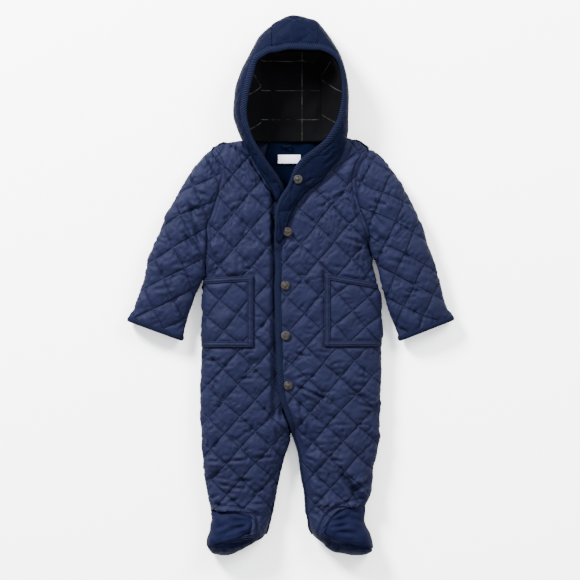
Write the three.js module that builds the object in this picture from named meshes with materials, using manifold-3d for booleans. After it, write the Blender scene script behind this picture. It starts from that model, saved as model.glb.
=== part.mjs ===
// A baby's hooded and footed snowsuit of diamond-quilted cloth, laid on its back on a flat surface.
// Millimetres. +X is the right of a person looking down at the front, which is the wearer's left,
// +Y runs from the feet to the hood, and +Z is up from the surface that the back lies on.
import * as THREE from "three";
import Module from "manifold-3d";

// Driving sizes of the cloth and its quilting.
const WALL = 4; // face cloth, wadding and backing, pressed together at a stitched line
const PUFF = 3.4; // rise of the middle of a diamond above its stitched lines
const DIAMOND = 35; // from one stitched line to the next one beside it
const PERIOD = DIAMOND * Math.SQRT2; // from diamond to diamond, along and across the cloth
const LATTICE = PERIOD / 4; // spacing of the wall's points, so that they fall on the stitched lines
const SEAM = 0.3; // clear distance between two pieces at a seam
const ON_TOP = 0.6; // clear distance under a piece that lies on another
const BINDING = { width: 9, thick: 2.6 };
// The right front dips between two places across the body and runs on under the left front.
const LAP = { from: -40, to: -25, drop: 5.6, crotch: -205, ends: -192 };
const SEAM_HEIGHT = 14; // side seams and inseams above the surface
const FLAT = 0.05; // cloth below this height rests on the surface
const SEAM_DIP = 8; // the quilting flattens over this width beside a seam
const CURL = 17; // how far in from a side seam the back meets the surface
const SHOULDER_ROUND = 22; // how far in from the shoulder seam the body reaches its full height
const SNAP = { radius: 6.7, height: 2.4 };

const CLOTH = { color: 0x27335c, roughness: 0.62, metalness: 0 };
const BOUND = { color: 0x1c2a58, roughness: 0.7, metalness: 0 };
const LINING = { color: 0x0c0f1c, roughness: 0.95, metalness: 0 };
const METAL = { color: 0x5a4c3c, roughness: 0.4, metalness: 0.85 };
const LABEL = { color: 0xe4e6ee, roughness: 0.7, metalness: 0 };

// Turns rows of numbers into objects with named columns.
function table(columns, rows) {
  const names = columns.split(" ");
  return rows.map((row) => Object.fromEntries(row.map((value, k) => [names[k], value])));
}

// The value of one column between two rows, on a smooth curve that never overshoots its rows.
function along(rows, at, name) {
  const place = THREE.MathUtils.clamp(at, rows[0].at, rows.at(-1).at);
  let k = 0;
  while (k < rows.length - 2 && place > rows[k + 1].at) k++;
  const slope = (i) => {
    const before = rows[Math.max(i - 1, 0)];
    const after = rows[Math.min(i + 1, rows.length - 1)];
    const left = (rows[i][name] - before[name]) / (rows[i].at - before.at || 1);
    const right = (after[name] - rows[i][name]) / (after.at - rows[i].at || 1);
    return left * right <= 0 ? 0 : (2 * left * right) / (left + right);
  };
  const width = rows[k + 1].at - rows[k].at;
  const t = (place - rows[k].at) / width;
  const h = t * t * (3 - 2 * t);
  const [a, b] = [rows[k][name], rows[k + 1][name]];
  return a + (b - a) * h + width * (t * (1 - t) ** 2 * slope(k) - t * t * (1 - t) * slope(k + 1));
}

const smooth = THREE.MathUtils.smoothstep;

// A ring of cloth as a line of points with the length along it, counted from a reference point.
function line(points, reference) {
  const lengths = [0];
  for (let k = 1; k < points.length; k++) {
    lengths.push(lengths[k - 1] + points[k].distanceTo(points[k - 1]));
  }
  const zero = lengths[reference] ?? 0;
  const start = -zero;
  const end = lengths.at(-1) - zero;
  const point = (u) => {
    const wanted = THREE.MathUtils.clamp(u, start, end) + zero;
    let k = 0;
    while (k < points.length - 2 && lengths[k + 1] < wanted) k++;
    const share = (wanted - lengths[k]) / (lengths[k + 1] - lengths[k] || 1);
    return points[k].clone().lerp(points[k + 1], Math.min(share, 1));
  };
  return { points, lengths: lengths.map((l) => l - zero), start, end, point };
}

// Height of the quilting above its stitched lines at a place on the flat cloth.
function quilting(u, v) {
  const wave = Math.sin((Math.PI * (u + v)) / PERIOD) * Math.sin((Math.PI * (u - v)) / PERIOD);
  return PUFF * Math.abs(wave) ** 0.6;
}

// The places of a wall's points along one direction: the lattice between two ends, and the ends.
function lattice(from, to, step = LATTICE) {
  const places = [from];
  for (let k = Math.ceil(from / step); k * step < to; k++) {
    if (k * step > from + step * 0.3 && k * step < to - step * 0.3) places.push(k * step);
  }
  places.push(to);
  return places;
}

// A wall of cloth as one closed solid. ring(v) is the line of cloth at station v, from(ring, v) and
// to(ring, v) are its two ends, and inner and outer are how far its faces lie off that line.
function wall({
  rows,
  ring,
  from = (here) => here.start,
  to = (here) => here.end,
  inner = () => -WALL,
  outer = quilting,
  step = LATTICE,
  plain = () => 1,
}) {
  const spans = rows.map((v) => {
    const here = ring(v);
    return { v, here, low: from(here, v), high: to(here, v) };
  });
  const first = Math.floor(Math.min(...spans.map((s) => s.low)) / step);
  const last = Math.ceil(Math.max(...spans.map((s) => s.high)) / step);
  const near = 0.5;
  const outside = [];
  const inside = [];
  const known = new Map();
  const grid = spans.map(({ v, here, low, high }) => {
    const before = ring(v - near);
    const after = ring(v + near);
    const cells = [];
    for (let k = first; k <= last; k++) {
      let u = k * step;
      if (u < low + step * 0.3) u = low;
      if (u > high - step * 0.3) u = u > (low + high) / 2 ? high : low;
      const point = here.point(u);
      const key = point.toArray().map((c) => Math.round(c * 500)).join(" ");
      if (!known.has(key)) {
        const across = here.point(u + near).sub(here.point(u - near));
        const lengthwise = after.point(u).sub(before.point(u));
        const normal = across.cross(lengthwise).normalize();
        if (here.flip) normal.negate();
        if (Math.abs(point.z - SEAM_HEIGHT) < SEAM) normal.setZ(0).normalize();
        if (point.z < FLAT) normal.set(0, 0, -1);
        const beside = smooth(Math.min(u - low, high - u), 0, SEAM_DIP);
        const shown = beside * plain(point, v) * smooth(normal.z, -0.7, -0.2);
        const raised = outer === quilting ? outer(u, v) * shown : outer(u, v);
        known.set(key, outside.length);
        outside.push(point.clone().addScaledVector(normal, raised));
        inside.push(point.clone().addScaledVector(normal, inner(u, v)));
      }
      cells.push(known.get(key));
    }
    return cells;
  });
  const faces = [];
  const add = (a, b, c) => {
    if (a !== b && b !== c && a !== c) faces.push([a, b, c]);
  };
  for (let j = 0; j + 1 < grid.length; j++) {
    for (let k = 0; k + 1 < grid[j].length; k++) {
      const [a, b] = [grid[j][k], grid[j][k + 1]];
      const [d, c] = [grid[j + 1][k], grid[j + 1][k + 1]];
      const rising = Math.abs(Math.round(spans[j].v / step) - (first + k)) % 4 === 0;
      if (rising) {
        add(a, b, c);
        add(a, c, d);
      } else {
        add(a, b, d);
        add(b, c, d);
      }
    }
  }
  return closed(outside, inside, faces);
}

// Closes two faces of cloth that share one set of triangles with a strip along every free edge.
function closed(outside, inside, faces) {
  const count = outside.length;
  const edges = new Map();
  for (const [a, b, c] of faces) {
    for (const [p, q] of [[a, b], [b, c], [c, a]]) {
      if (edges.has(`${q} ${p}`)) edges.delete(`${q} ${p}`);
      else edges.set(`${p} ${q}`, [p, q]);
    }
  }
  const all = faces.flatMap(([a, b, c]) => [a, b, c, a + count, c + count, b + count]);
  for (const [p, q] of edges.values()) all.push(p, p + count, q, q, p + count, q + count);
  return geometryOf([...outside, ...inside], all);
}

// A geometry from points and triangles, turned so that its faces point out.
function geometryOf(points, triangles) {
  let volume = 0;
  for (let k = 0; k < triangles.length; k += 3) {
    const [a, b, c] = [0, 1, 2].map((i) => points[triangles[k + i]]);
    volume += a.dot(b.clone().cross(c));
  }
  const order = volume < 0 ? triangles.slice().reverse() : triangles;
  const geometry = new THREE.BufferGeometry();
  const places = points.flatMap((p) => [p.x, p.y, p.z]);
  geometry.setAttribute("position", new THREE.Float32BufferAttribute(places, 3));
  geometry.setIndex(order);
  return geometry;
}

const garment = new THREE.Group();

// Adds a named piece of cloth or metal to the garment.
function piece(name, geometry, finish) {
  const mesh = new THREE.Mesh(geometry, new THREE.MeshStandardMaterial(finish));
  mesh.name = name;
  garment.add(mesh);
  return mesh;
}

// The body, one half at a time, as sections across it. at is Y. outer is the armhole seam or the side
// seam, crown the highest point, edge the neck seam, the front edge or the inseam, and mid the centre
// of the back or the inseam. high, edgeTop and edgeLow are heights, and low lifts the back's rim.
const BODY = "at outer crown edge mid high edgeTop edgeLow low";
const RIGHT_HALF = table(BODY, [
  [-404, -104, -98, -92, -92, 15, 14, 14, 13],
  [-401, -116, -102, -84, -84, 27, 14, 14, 7],
  [-397, -120, -100, -75, -75, 36, 14, 14, 0],
  [-385, -124.5, -93, -54, -54, 45, 14, 14, 0],
  [-373, -121.5, -84, -37.5, -37.5, 48, 14, 14, 0],
  [-361, -118.5, -80, -33, -33, 46, 14, 14, 0],
  [-349, -117, -78, -30, -30, 42, 14, 14, 0],
  [-337, -118.5, -76, -27, -27, 37, 14, 14, 0],
  [-313, -123, -74, -22.5, -22.5, 35, 14, 14, 0],
  [-289, -127.5, -73, -18, -18, 36, 14, 14, 0],
  [-253, -130.5, -71, -9, -9, 37, 14, 14, 0],
  [-241, -132, -70, -4.5, -4.5, 37, 14, 14, 0],
  [-229, -132, -69, -1.5, -1.5, 37, 15, 13, 0],
  [-220, -132.5, -68, -1, 1.2, 37, 18, 10, 0],
  [-212, -133, -67, -2, 2.5, 37, 24, 5, 0],
  [-200, -133.5, -67, -6, 2.5, 37, 31, 0, 0],
  [-185, -134, -66, -11, 2.5, 37, 33, 0, 0],
  [-178, -134, -66, -4, 2.5, 37, 34, 0, 0],
  [-170, -134, -66, 2, 2.5, 37, 34, 0, 0],
  [-97, -132, -64, 2, 2.5, 37, 35, 0, 0],
  [-25, -129, -62, 2, 2.5, 37, 35, 0, 0],
  [13, -128.5, -62, 2, 2.5, 37, 35, 0, 0],
  [35, -127.5, -62, 2, 2.5, 37, 35, 0, 0],
  [58, -126, -62, 2, 2.5, 37, 35, 0, 0],
  [86, -126, -62, 2, 2.5, 36, 35, 0, 0],
  [104, -119.5, -62, 2, 2.5, 36, 35, 0, 0],
  [110, -117.5, -62, -13, 2.5, 36, 35, 0, 0],
  [125, -113, -64, -20, 2.5, 36, 34, 0, 0],
  [144, -107.4, -66, -30.5, 2.5, 35, 34, 0, 0],
  [163.5, -103.5, -70, -41, 2.5, 34, 33, 0, 0],
  [182.5, -107.4, -76, -52, 2.5, 33, 32, 0, 0],
  [203, -118.5, -88, -64, 2.5, 32, 31, 0, 0],
  [210, -95, -80, -68, 2.5, 32, 31, 0, 0],
  [217, -73, -72.5, -72, 2.5, 32, 31, 0, 0],
]);
const LEFT_HALF = table(BODY, [
  [-404, 106, 98, 92, 92, 15, 14, 14, 13],
  [-401, 118, 104, 78, 78, 27, 14, 14, 7],
  [-397, 123, 104, 61.5, 61.5, 36, 14, 14, 0],
  [-385, 123, 96, 48, 48, 45, 14, 14, 0],
  [-373, 120, 86, 34.5, 34.5, 48, 14, 14, 0],
  [-361, 114, 80, 28.5, 28.5, 46, 14, 14, 0],
  [-349, 111, 76, 27, 27, 42, 14, 14, 0],
  [-337, 111, 74, 24, 24, 38, 14, 14, 0],
  [-313, 120, 74, 22.5, 22.5, 36, 14, 14, 0],
  [-289, 123, 74, 18, 18, 36, 14, 14, 0],
  [-265, 126, 73, 15, 15, 37, 14, 14, 0],
  [-253, 129, 73, 13.5, 13.5, 37, 14, 14, 0],
  [-241, 132, 72, 10.5, 10.5, 37, 14, 14, 0],
  [-229, 133, 71, 6.5, 6.5, 37, 15, 13, 0],
  [-220, 133.5, 70, 3, 3, 37, 18, 10, 0],
  [-212, 133.5, 68, 1, 1.5, 37, 24, 5, 0],
  [-200, 134, 66, -3.5, 1.5, 37, 31, 0, 0],
  [-185, 134.5, 65, -9, 1.5, 37, 33, 0, 0],
  [-170, 135, 64, -14.5, 1.5, 37, 34, 0, 0],
  [-144, 136, 62, -18.5, 1.5, 37, 35, 0, 0],
  [-97, 136.5, 60, -20, 1.5, 37, 35, 0, 0],
  [-49, 135, 60, -21.5, 1.5, 37, 35, 0, 0],
  [0, 130.5, 60, -22.5, 1.5, 37, 35, 0, 0],
  [20, 125, 60, -21.5, 1.5, 37, 35, 0, 0],
  [50, 121.5, 60, -22, 1.5, 37, 35, 0, 0],
  [58, 121.2, 60, -21, 1.5, 37, 35, 0, 0],
  [64, 121, 60, -15, 1.5, 37, 35, 0, 0],
  [76, 120, 60, -8, 1.5, 36.5, 35, 0, 0],
  [95, 114.5, 61, -2, 1.5, 36, 35, 0, 0],
  [118, 105.5, 64, 7.5, 1.5, 36, 34, 0, 0],
  [139, 101, 68, 24, 1.5, 35, 34, 0, 0],
  [157, 100, 74, 48, 1.5, 34, 33, 0, 0],
  [179, 104.5, 86, 67.5, 1.5, 33, 32, 0, 0],
  [203, 117, 98, 80, 1.5, 32, 31, 0, 0],
  [212, 101, 92, 83, 1.5, 32, 31, 0, 0],
  [221, 86.5, 86, 85.5, 1.5, 32, 31, 0, 0],
]);
const HALVES = {
  right: {
    rows: RIGHT_HALF,
    reference: -62,
    armpit: 12.8,
    shoulder: [new THREE.Vector2(-118.5, 203.5), new THREE.Vector2(-72, 217.5)],
  },
  left: {
    rows: LEFT_HALF,
    reference: 62,
    armpit: 50.2,
    shoulder: [new THREE.Vector2(117, 203.5), new THREE.Vector2(85.5, 221.5)],
  },
};
const TOE = -404;
const QUARTER = 14; // points on each quarter of a section
const FULL = 0.82; // under 1 makes a section squarer than an ellipse

// Height of the armhole seam on the front or the back: it opens up from the armpit.
function armholeHeight(above, onFront) {
  const open = smooth(above, 0, 38);
  return onFront ? SEAM_HEIGHT + 17 * open : SEAM_HEIGHT * (1 - open);
}

// Share of its height that the body keeps near the shoulder seam, which closes over the shoulder.
function shoulderShare(x, y, [low, high]) {
  const way = high.clone().sub(low);
  const place = new THREE.Vector2(x, y).sub(low);
  const t = THREE.MathUtils.clamp(place.dot(way) / way.lengthSq(), 0, 1);
  const off = Math.min(place.sub(way.multiplyScalar(t)).length() / SHOULDER_ROUND, 1);
  return Math.sqrt(1 - (1 - off) ** 2);
}

// One quarter of a section, from a steep end to a level crown.
function quarter(end, endHeight, crown, crownHeight, backwards = false) {
  const points = [];
  for (let k = 0; k <= QUARTER; k++) {
    const angle = (Math.PI / 2) * (backwards ? 1 - k / QUARTER : k / QUARTER);
    const x = crown + (end - crown) * Math.cos(angle) ** FULL;
    points.push([x, endHeight + (crownHeight - endHeight) * Math.sin(angle) ** FULL]);
  }
  return points;
}

// The ring of cloth of one half at a place along the body: front runs from the front edge over to the
// side, and under runs back below it to the middle. lap is 1 on the front that runs on under the other.
function bodyRing(half, y, lap = 0) {
  const { rows, reference, armpit, shoulder } = half;
  const at = THREE.MathUtils.clamp(y, TOE, shoulder[1].y);
  const get = (name) => along(rows, at, name);
  const away = Math.sign(reference);
  const armhole = at > armpit;
  const outerTop = armhole ? armholeHeight(at - armpit, true) : SEAM_HEIGHT;
  const outerLow = armhole ? armholeHeight(at - armpit, false) : SEAM_HEIGHT;
  const edge = get("edge");
  const top = [
    ...quarter(edge, get("edgeTop"), get("crown"), get("high")),
    ...quarter(get("outer"), outerTop, get("crown"), get("high"), true).slice(1),
  ];
  const low = get("low");
  const outer = get("outer");
  const mid = get("mid");
  const reach = Math.min(CURL, Math.abs(outer - mid) * 0.45);
  const under = [
    ...quarter(outer, outerLow, outer - away * reach, low),
    ...quarter(mid, get("edgeLow"), mid + away * reach, low, true),
  ];
  const place = ([x, z]) => {
    const share = at > shoulder[0].y - 60 ? shoulderShare(x, at, shoulder) : 1;
    const height = z - lap * LAP.drop * smooth(x, LAP.from, LAP.to) * smooth(at, LAP.crotch, LAP.ends);
    return new THREE.Vector3(x, at, SEAM_HEIGHT + (height - SEAM_HEIGHT) * share);
  };
  return { front: top.map(place), under: under.map(place) };
}

// Places the reference line between two points of a section, so that the cloth isn't skewed.
function measured(points, reference) {
  const cloth = line(points, 0);
  let k = 0;
  const before = (p) => (p.x - reference) * Math.sign(reference) < 0;
  while (k < points.length - 2 && before(points[k + 1])) k++;
  const width = points[k + 1].x - points[k].x;
  const share = THREE.MathUtils.clamp((reference - points[k].x) / (width || 1), 0, 1);
  const zero = cloth.lengths[k] + share * (cloth.lengths[k + 1] - cloth.lengths[k]);
  return {
    start: -zero,
    end: cloth.end - zero,
    point: (u) => cloth.point(u + zero),
    where: (x) => {
      let i = 0;
      while (i < points.length - 2 && (points[i + 1].x - x) * Math.sign(reference) < 0) i++;
      const part = (x - points[i].x) / (points[i + 1].x - points[i].x || 1);
      const step = cloth.lengths[i + 1] - cloth.lengths[i];
      return cloth.lengths[i] + THREE.MathUtils.clamp(part, 0, 1) * step - zero;
    },
  };
}

const frontRing = (half, lap) => (y) => ({
  ...measured(bodyRing(half, y, lap).front, half.reference),
  flip: half.reference < 0,
});
const backRing = (half) => (y) => ({
  ...measured(bodyRing(half, y).under.toReversed(), half.reference),
  flip: half.reference > 0,
});

// The toe of each foot is an upper set into the leg, with a sole round its end. instep is the seam's
// X where the leg's inner side runs on beside the upper, and sole is the sole seam's X.
const FEET = {
  right: {
    instep: table("at x", [[-374, -60], [-358, -57], [-348, -58], [-343, -66], [-339, -90], [-336, -119]]),
    sole: table("at x", [[-391, -124], [-386, -110], [-379, -86], [-371, -66], [-366, -58]]),
  },
  left: {
    instep: table("at x", [[-374, 50], [-362, 54], [-350, 60], [-338, 72], [-331, 90], [-327, 112]]),
    sole: table("at x", [[-394, 124], [-390, 110], [-386, 84], [-378, 66], [-368, 50]]),
  },
};
// Rows shared by all the pieces that meet along the body, closer where it curves.
const BODY_ROWS = [
  ...lattice(TOE, -334.1, LATTICE / 2),
  ...lattice(-334.1, 222, LATTICE).slice(1),
  ...[-374.3, -228.5, -216.5, -205, -191, -179, 58, 66, 92, 104, 191, 204, 215, 217, 219.5, 221],
].sort((a, b) => a - b);
const rowsOf = (low, high) => BODY_ROWS.filter((v) => v > low && v < high);

// Snaps: the middle of each cap's underside.
const SNAPS = table("x y z", [
  [12, 158, 48.6],
  [-3.7, 80, 40.8],
  [-7, 0, 38.1],
  [-6.6, -74.7, 38.6],
  [-2.7, -149, 38.2],
]);

// Pockets: patches on the fronts from the side in, with a bound top, front edge and bottom.
const POCKETS = {
  right: { inner: -55, outer: -122, low: -92, innerTop: 15, outerTop: 10 },
  left: { inner: 51.5, outer: 126, low: -91, innerTop: 18, outerTop: 2 },
};

function pocketTop(pocket, x) {
  const share = (x - pocket.inner) / (pocket.outer - pocket.inner);
  return THREE.MathUtils.lerp(pocket.innerTop, pocket.outerTop, THREE.MathUtils.clamp(share, 0, 1));
}

// Share of its quilting that a front keeps: none under a pocket, the binding, a snap or the lap.
function frontShare(side, { x, y }) {
  const pocket = POCKETS[side];
  const beyond = Math.abs(x) - Math.abs(pocket.inner);
  const inside = Math.min(beyond, pocketTop(pocket, x) - y, y - pocket.low);
  const snap = Math.min(...SNAPS.map((s) => Math.hypot(x - s.x, y - s.y)));
  const edge = along(HALVES[side].rows, y, "edge");
  const fromEdge = (x - edge) * Math.sign(HALVES[side].reference);
  const bound = side === "left" || y < -215 ? smooth(fromEdge, BINDING.width, BINDING.width + 5) : 1;
  const lap = smooth(x, LAP.from - 8, LAP.from + 4) * smooth(y, LAP.crotch, LAP.ends);
  const lapped = side === "right" ? 1 - lap : 1;
  const besideSnap = smooth(snap, SNAP.radius + 1, SNAP.radius + 9);
  return (1 - smooth(inside, -LATTICE, -1)) * besideSnap * bound * lapped;
}

const HEEL = -372; // the leg's inner side runs down to here, beside the heel
const HEEL_FRONT = -386; // and the sole has climbed to its seam with the upper here

// How far up its way to the sole seam the sole's inner edge has climbed in front of the heel.
const climbed = (v) => 1 - THREE.MathUtils.clamp((v - HEEL_FRONT) / (HEEL - HEEL_FRONT), 0, 1);
const NECK_GAP = 3; // below the hood, where the fronts and the back close over the shoulder
const LEG_END = { right: -337, left: -328 };
for (const [side, half] of Object.entries(HALVES)) {
  const foot = FEET[side];
  const ring = frontRing(half, side === "right" ? 1 : 0);
  const inset = (v) => (v < -215 ? SEAM / 2 : 2 * smooth(v, 165, 200));
  const soleSeam = (here, v) => here.where(along(foot.sole, v, "x"));
  piece(
    `front_${side}`,
    wall({
      rows: rowsOf(HEEL_FRONT, half.shoulder[1].y - NECK_GAP),
      ring,
      from: (here, v) => {
        if (v > HEEL) return here.start + inset(v);
        return here.start + (soleSeam(here, v) - here.start) * climbed(v) + 5 * SEAM;
      },
      to: (here, v) => {
        if (v > LEG_END[side]) return here.end - SEAM / 2;
        if (v < HEEL) return soleSeam(here, v) - 2 * SEAM;
        return Math.max(here.where(along(foot.instep, v, "x")) - 2 * SEAM, here.start + LATTICE / 2);
      },
      plain: (p) => frontShare(side, p),
    }),
    CLOTH,
  );
  piece(
    `foot_${side}`,
    wall({
      rows: rowsOf(foot.sole[0].at, LEG_END[side] + 1),
      ring: frontRing(half, 0),
      from: (here, v) => {
        const instep = here.where(along(foot.instep, v, "x"));
        return (v < foot.sole.at(-1).at ? Math.max(instep, soleSeam(here, v)) : instep) + SEAM;
      },
      to: (here) => here.end - SEAM / 2,
      outer: () => 0,
    }),
    CLOTH,
  );
}

// The sole closes the end of the foot: under it from the heel, and up round its end to the sole seam.
const BACK_END = -358;
const SOLE_THICK = 2; // two layers with no wadding
const TOE_THIN = TOE + 20; // the cloth is pressed thin from here to the end of the toe
for (const [side, half] of Object.entries(HALVES)) {
  const foot = FEET[side];
  const top = frontRing(half, 0);
  const tube = (y) => {
    const { front, under } = bodyRing(half, y);
    return line([...under, ...front.slice(1)], under.length - 1);
  };
  const ring = (y) => {
    const cloth = tube(y);
    const { start, end } = tube(Math.max(y, foot.sole[0].at));
    const point = (u) => cloth.point(u * (u < 0 ? cloth.start / start : cloth.end / end));
    return { start, end, point, flip: half.reference < 0 };
  };
  const upTo = (here, v) => {
    if (v > HEEL) return -SEAM;
    if (v < foot.sole[0].at) return here.end;
    const cloth = top(v);
    const seam = cloth.where(along(foot.sole, v, "x")) - cloth.start;
    return Math.max(seam * climbed(v) - 2 * SEAM, SEAM);
  };
  piece(
    `sole_${side}`,
    wall({
      rows: rowsOf(TOE - 1, BACK_END),
      ring,
      from: (here, v) => (v < foot.sole[0].at ? here.start : here.start + SEAM / 2),
      to: upTo,
      inner: (u, v) => -SOLE_THICK * (0.2 + 0.8 * smooth(v, TOE, TOE_THIN)),
      outer: () => 0,
    }),
    CLOTH,
  );
}

const wasm = await Module();
wasm.setup();

// Joins closed geometries that overlap into one solid.
function joined(geometries) {
  const solids = geometries.map((geometry) => {
    const vertProperties = geometry.attributes.position.array;
    const triVerts = new Uint32Array(geometry.index.array);
    return new wasm.Manifold(new wasm.Mesh({ numProp: 3, vertProperties, triVerts }));
  });
  const mesh = solids.reduce((a, b) => a.add(b)).getMesh();
  const geometry = new THREE.BufferGeometry();
  geometry.setAttribute("position", new THREE.BufferAttribute(new Float32Array(mesh.vertProperties), 3));
  geometry.setIndex([...mesh.triVerts]);
  return geometry;
}

// The back lies flat, with both legs, and curls up at its sides to meet the fronts.
const backRows = (high) =>
  rowsOf(BACK_END, high).filter((v, k) => k % 2 === 0 || v > 180 || (v > -240 && v < -190));
const backHalves = Object.values(HALVES).map((half) =>
  wall({
    rows: backRows(half.shoulder[1].y - NECK_GAP),
    ring: backRing(half),
    from: (here, v) => here.start + (v < -222 ? SEAM / 2 : 0),
    to: (here) => here.end - SEAM / 2,
    outer: () => 0,
    step: LATTICE * 2,
  }),
);
piece("back", joined(backHalves), CLOTH);

// Sleeves, along a line from the middle of the cuff towards the shoulder. outer and inner are the
// two silhouettes across that line, the outer one positive, and inner ends at the armpit.
const SLEEVE = "at outer inner high low";
const CUFF = { width: 8, lift: 3.4 };
const SLEEVES = {
  right: {
    cuff: new THREE.Vector2(-202.5, -67.5),
    way: new THREE.Vector2(0.341, 0.94),
    out: new THREE.Vector2(-0.94, 0.341),
    rows: table(SLEEVE, [
      [0, 42.5, -42.5, 27, CUFF.lift],
      [9, 42.3, -42, 28, CUFF.lift],
      [20, 40.2, -41.2, 30, 1],
      [44, 39.8, -39.5, 32, 0],
      [69, 40.9, -39.2, 33, 0],
      [100.5, 44.9, -41.7, 35, 0],
      [145, 42.9, -41.7, 36, 0],
      [171, 41.2, -41.7, 36, 0],
      [198, 38.1, -41.7, 36, 0],
      [225, 32.2, -41.7, 35, 0],
      [253, 26.3, -41.7, 33, 0],
      [268, 20.5, -41.7, 30, 0],
      [276, 16.8, -41.7, 26, 2],
    ]),
  },
  left: {
    cuff: new THREE.Vector2(204.8, -66.8),
    way: new THREE.Vector2(-0.364, 0.931),
    out: new THREE.Vector2(0.931, 0.364),
    rows: table(SLEEVE, [
      [0, 42.5, -42.5, 27, CUFF.lift],
      [9, 42.8, -42.6, 28, CUFF.lift],
      [17, 40, -42.8, 30, 1],
      [42, 41.3, -42.5, 32, 0],
      [66, 44.5, -41, 33, 0],
      [91, 46.2, -37.5, 35, 0],
      [116, 48, -34.6, 36, 0],
      [139, 48.3, -34.9, 36, 0],
      [171, 48.7, -34.9, 36, 0],
      [194, 46.2, -34.9, 36, 0],
      [222, 42.4, -34.9, 35, 0],
      [250, 35.8, -34.9, 33, 0],
      [265, 30.4, -34.9, 30, 0],
      [276, 24.8, -34.9, 26, 2],
    ]),
  },
};
const SLEEVE_END = 276;
const ARMHOLE_GAP = 1.8; // and twice that over the shoulder, where the seam turns
const ARMHOLE_STEPS = 50;

// The armhole seam as the sleeve sees it: place along the sleeve, place across it, and height share.
function armholeOf(half, sleeve) {
  const steps = [];
  for (let k = 0; k <= ARMHOLE_STEPS; k++) {
    const y = THREE.MathUtils.lerp(half.armpit, half.shoulder[0].y, k / ARMHOLE_STEPS);
    const seam = new THREE.Vector2(along(half.rows, y, "outer"), y);
    const share = shoulderShare(seam.x, y, half.shoulder);
    const raised = (onFront) => {
      const height = armholeHeight(y - half.armpit, onFront);
      return SEAM_HEIGHT + (height - SEAM_HEIGHT) * share;
    };
    const local = seam.clone().sub(sleeve.cuff);
    const [at, across] = [local.dot(sleeve.way), local.dot(sleeve.out)];
    steps.push({ at, across, top: raised(true), low: raised(false) });
  }
  return steps.sort((a, b) => a.at - b.at);
}

for (const [side, sleeve] of Object.entries(SLEEVES)) {
  const armhole = armholeOf(HALVES[side], sleeve);
  const armpit = armhole[0].at;
  const ring = (v) => {
    const at = THREE.MathUtils.clamp(v, 0, SLEEVE_END);
    const [outer, high, low] = ["outer", "high", "low"].map((name) => along(sleeve.rows, at, name));
    const joinedOn = at > armpit;
    const gap = ARMHOLE_GAP * (1 + 2 * smooth(at, 200, 245));
    const seamSide = along(armhole, at, "across") + gap;
    const inner = joinedOn ? seamSide : along(sleeve.rows, at, "inner");
    const innerTop = joinedOn ? along(armhole, at, "top") : SEAM_HEIGHT;
    const innerLow = joinedOn ? along(armhole, at, "low") : SEAM_HEIGHT;
    const crown = (outer + inner) / 2;
    const reach = Math.min(CURL, (outer - inner) * 0.45);
    const section = [
      ...quarter(inner, innerTop, crown, high),
      ...quarter(outer, SEAM_HEIGHT, crown, high, true).slice(1),
      ...quarter(outer, SEAM_HEIGHT, outer - reach, low).slice(1),
      ...quarter(inner, innerLow, inner + reach, low, true),
    ];
    const points = section.map(([x, z]) => {
      const plan = sleeve.cuff.clone().addScaledVector(sleeve.way, v).addScaledVector(sleeve.out, x);
      return new THREE.Vector3(plan.x, plan.y, z);
    });
    return { ...line(points, QUARTER), flip: side === "right" };
  };
  const armRows = lattice(0, SLEEVE_END);
  armRows.push(armpit, armpit + 5, 9);
  armRows.sort((a, b) => a - b);
  const clearOfCuff = (p, v) => smooth(v, CUFF.width, CUFF.width + 6);
  piece(`sleeve_${side}`, wall({ rows: armRows, ring, plain: clearOfCuff }), CLOTH);
  piece(
    `cuff_${side}`,
    wall({
      rows: [-1.5, CUFF.width / 2, CUFF.width],
      ring,
      inner: () => ON_TOP,
      outer: () => ON_TOP + BINDING.thick,
    }),
    BOUND,
  );
}

// The hood, as sections from the rim of its opening, out and over to the outline or the neck seam,
// and on under it to the back of the hood. rim, end and under are the three places of each section.
const HOOD = "rimX rimY rimZ endX endY endZ underX underY";
const HOOD_RIGHT = table(HOOD, [
  [-9.5, 147, 33, -13, 109, 30, -13, 109],
  [-17, 161, 40, -21, 128, 34, -21, 128],
  [-30, 179, 48, -34.5, 152, 34, -34.5, 152],
  [-43.5, 199, 54, -48, 176, 33, -48, 176],
  [-55.5, 220, 57, -61.5, 199, 32, -61.5, 199],
  [-61.5, 238, 58, -72, 217.5, 31, -72, 217.5],
  [-64, 248, 58.5, -79, 234, 22, -54, 223],
  [-65, 262, 59, -85, 257, 24, -29, 240],
  [-61.5, 286, 60, -82.5, 290, 24, -29, 270],
  [-55.5, 311, 61, -73.5, 320, 24, -29, 298],
  [-49.5, 332, 62, -60, 346, 24, -29, 324],
  [-39, 341, 63, -46.5, 371, 25, -29, 346],
  [-26.5, 346.3, 63.5, -28, 388, 26, -28.5, 366],
]);
const HOOD_CENTRE = table(HOOD, [
  [-25.5, 346.5, 63.5, -26.9, 388.8, 26, -25.5, 222],
  [3, 351, 64, 4.5, 403.5, 26, 7, 224],
  [38, 350.3, 63.5, 39.2, 394.9, 26, 38.5, 224],
]);
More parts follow.
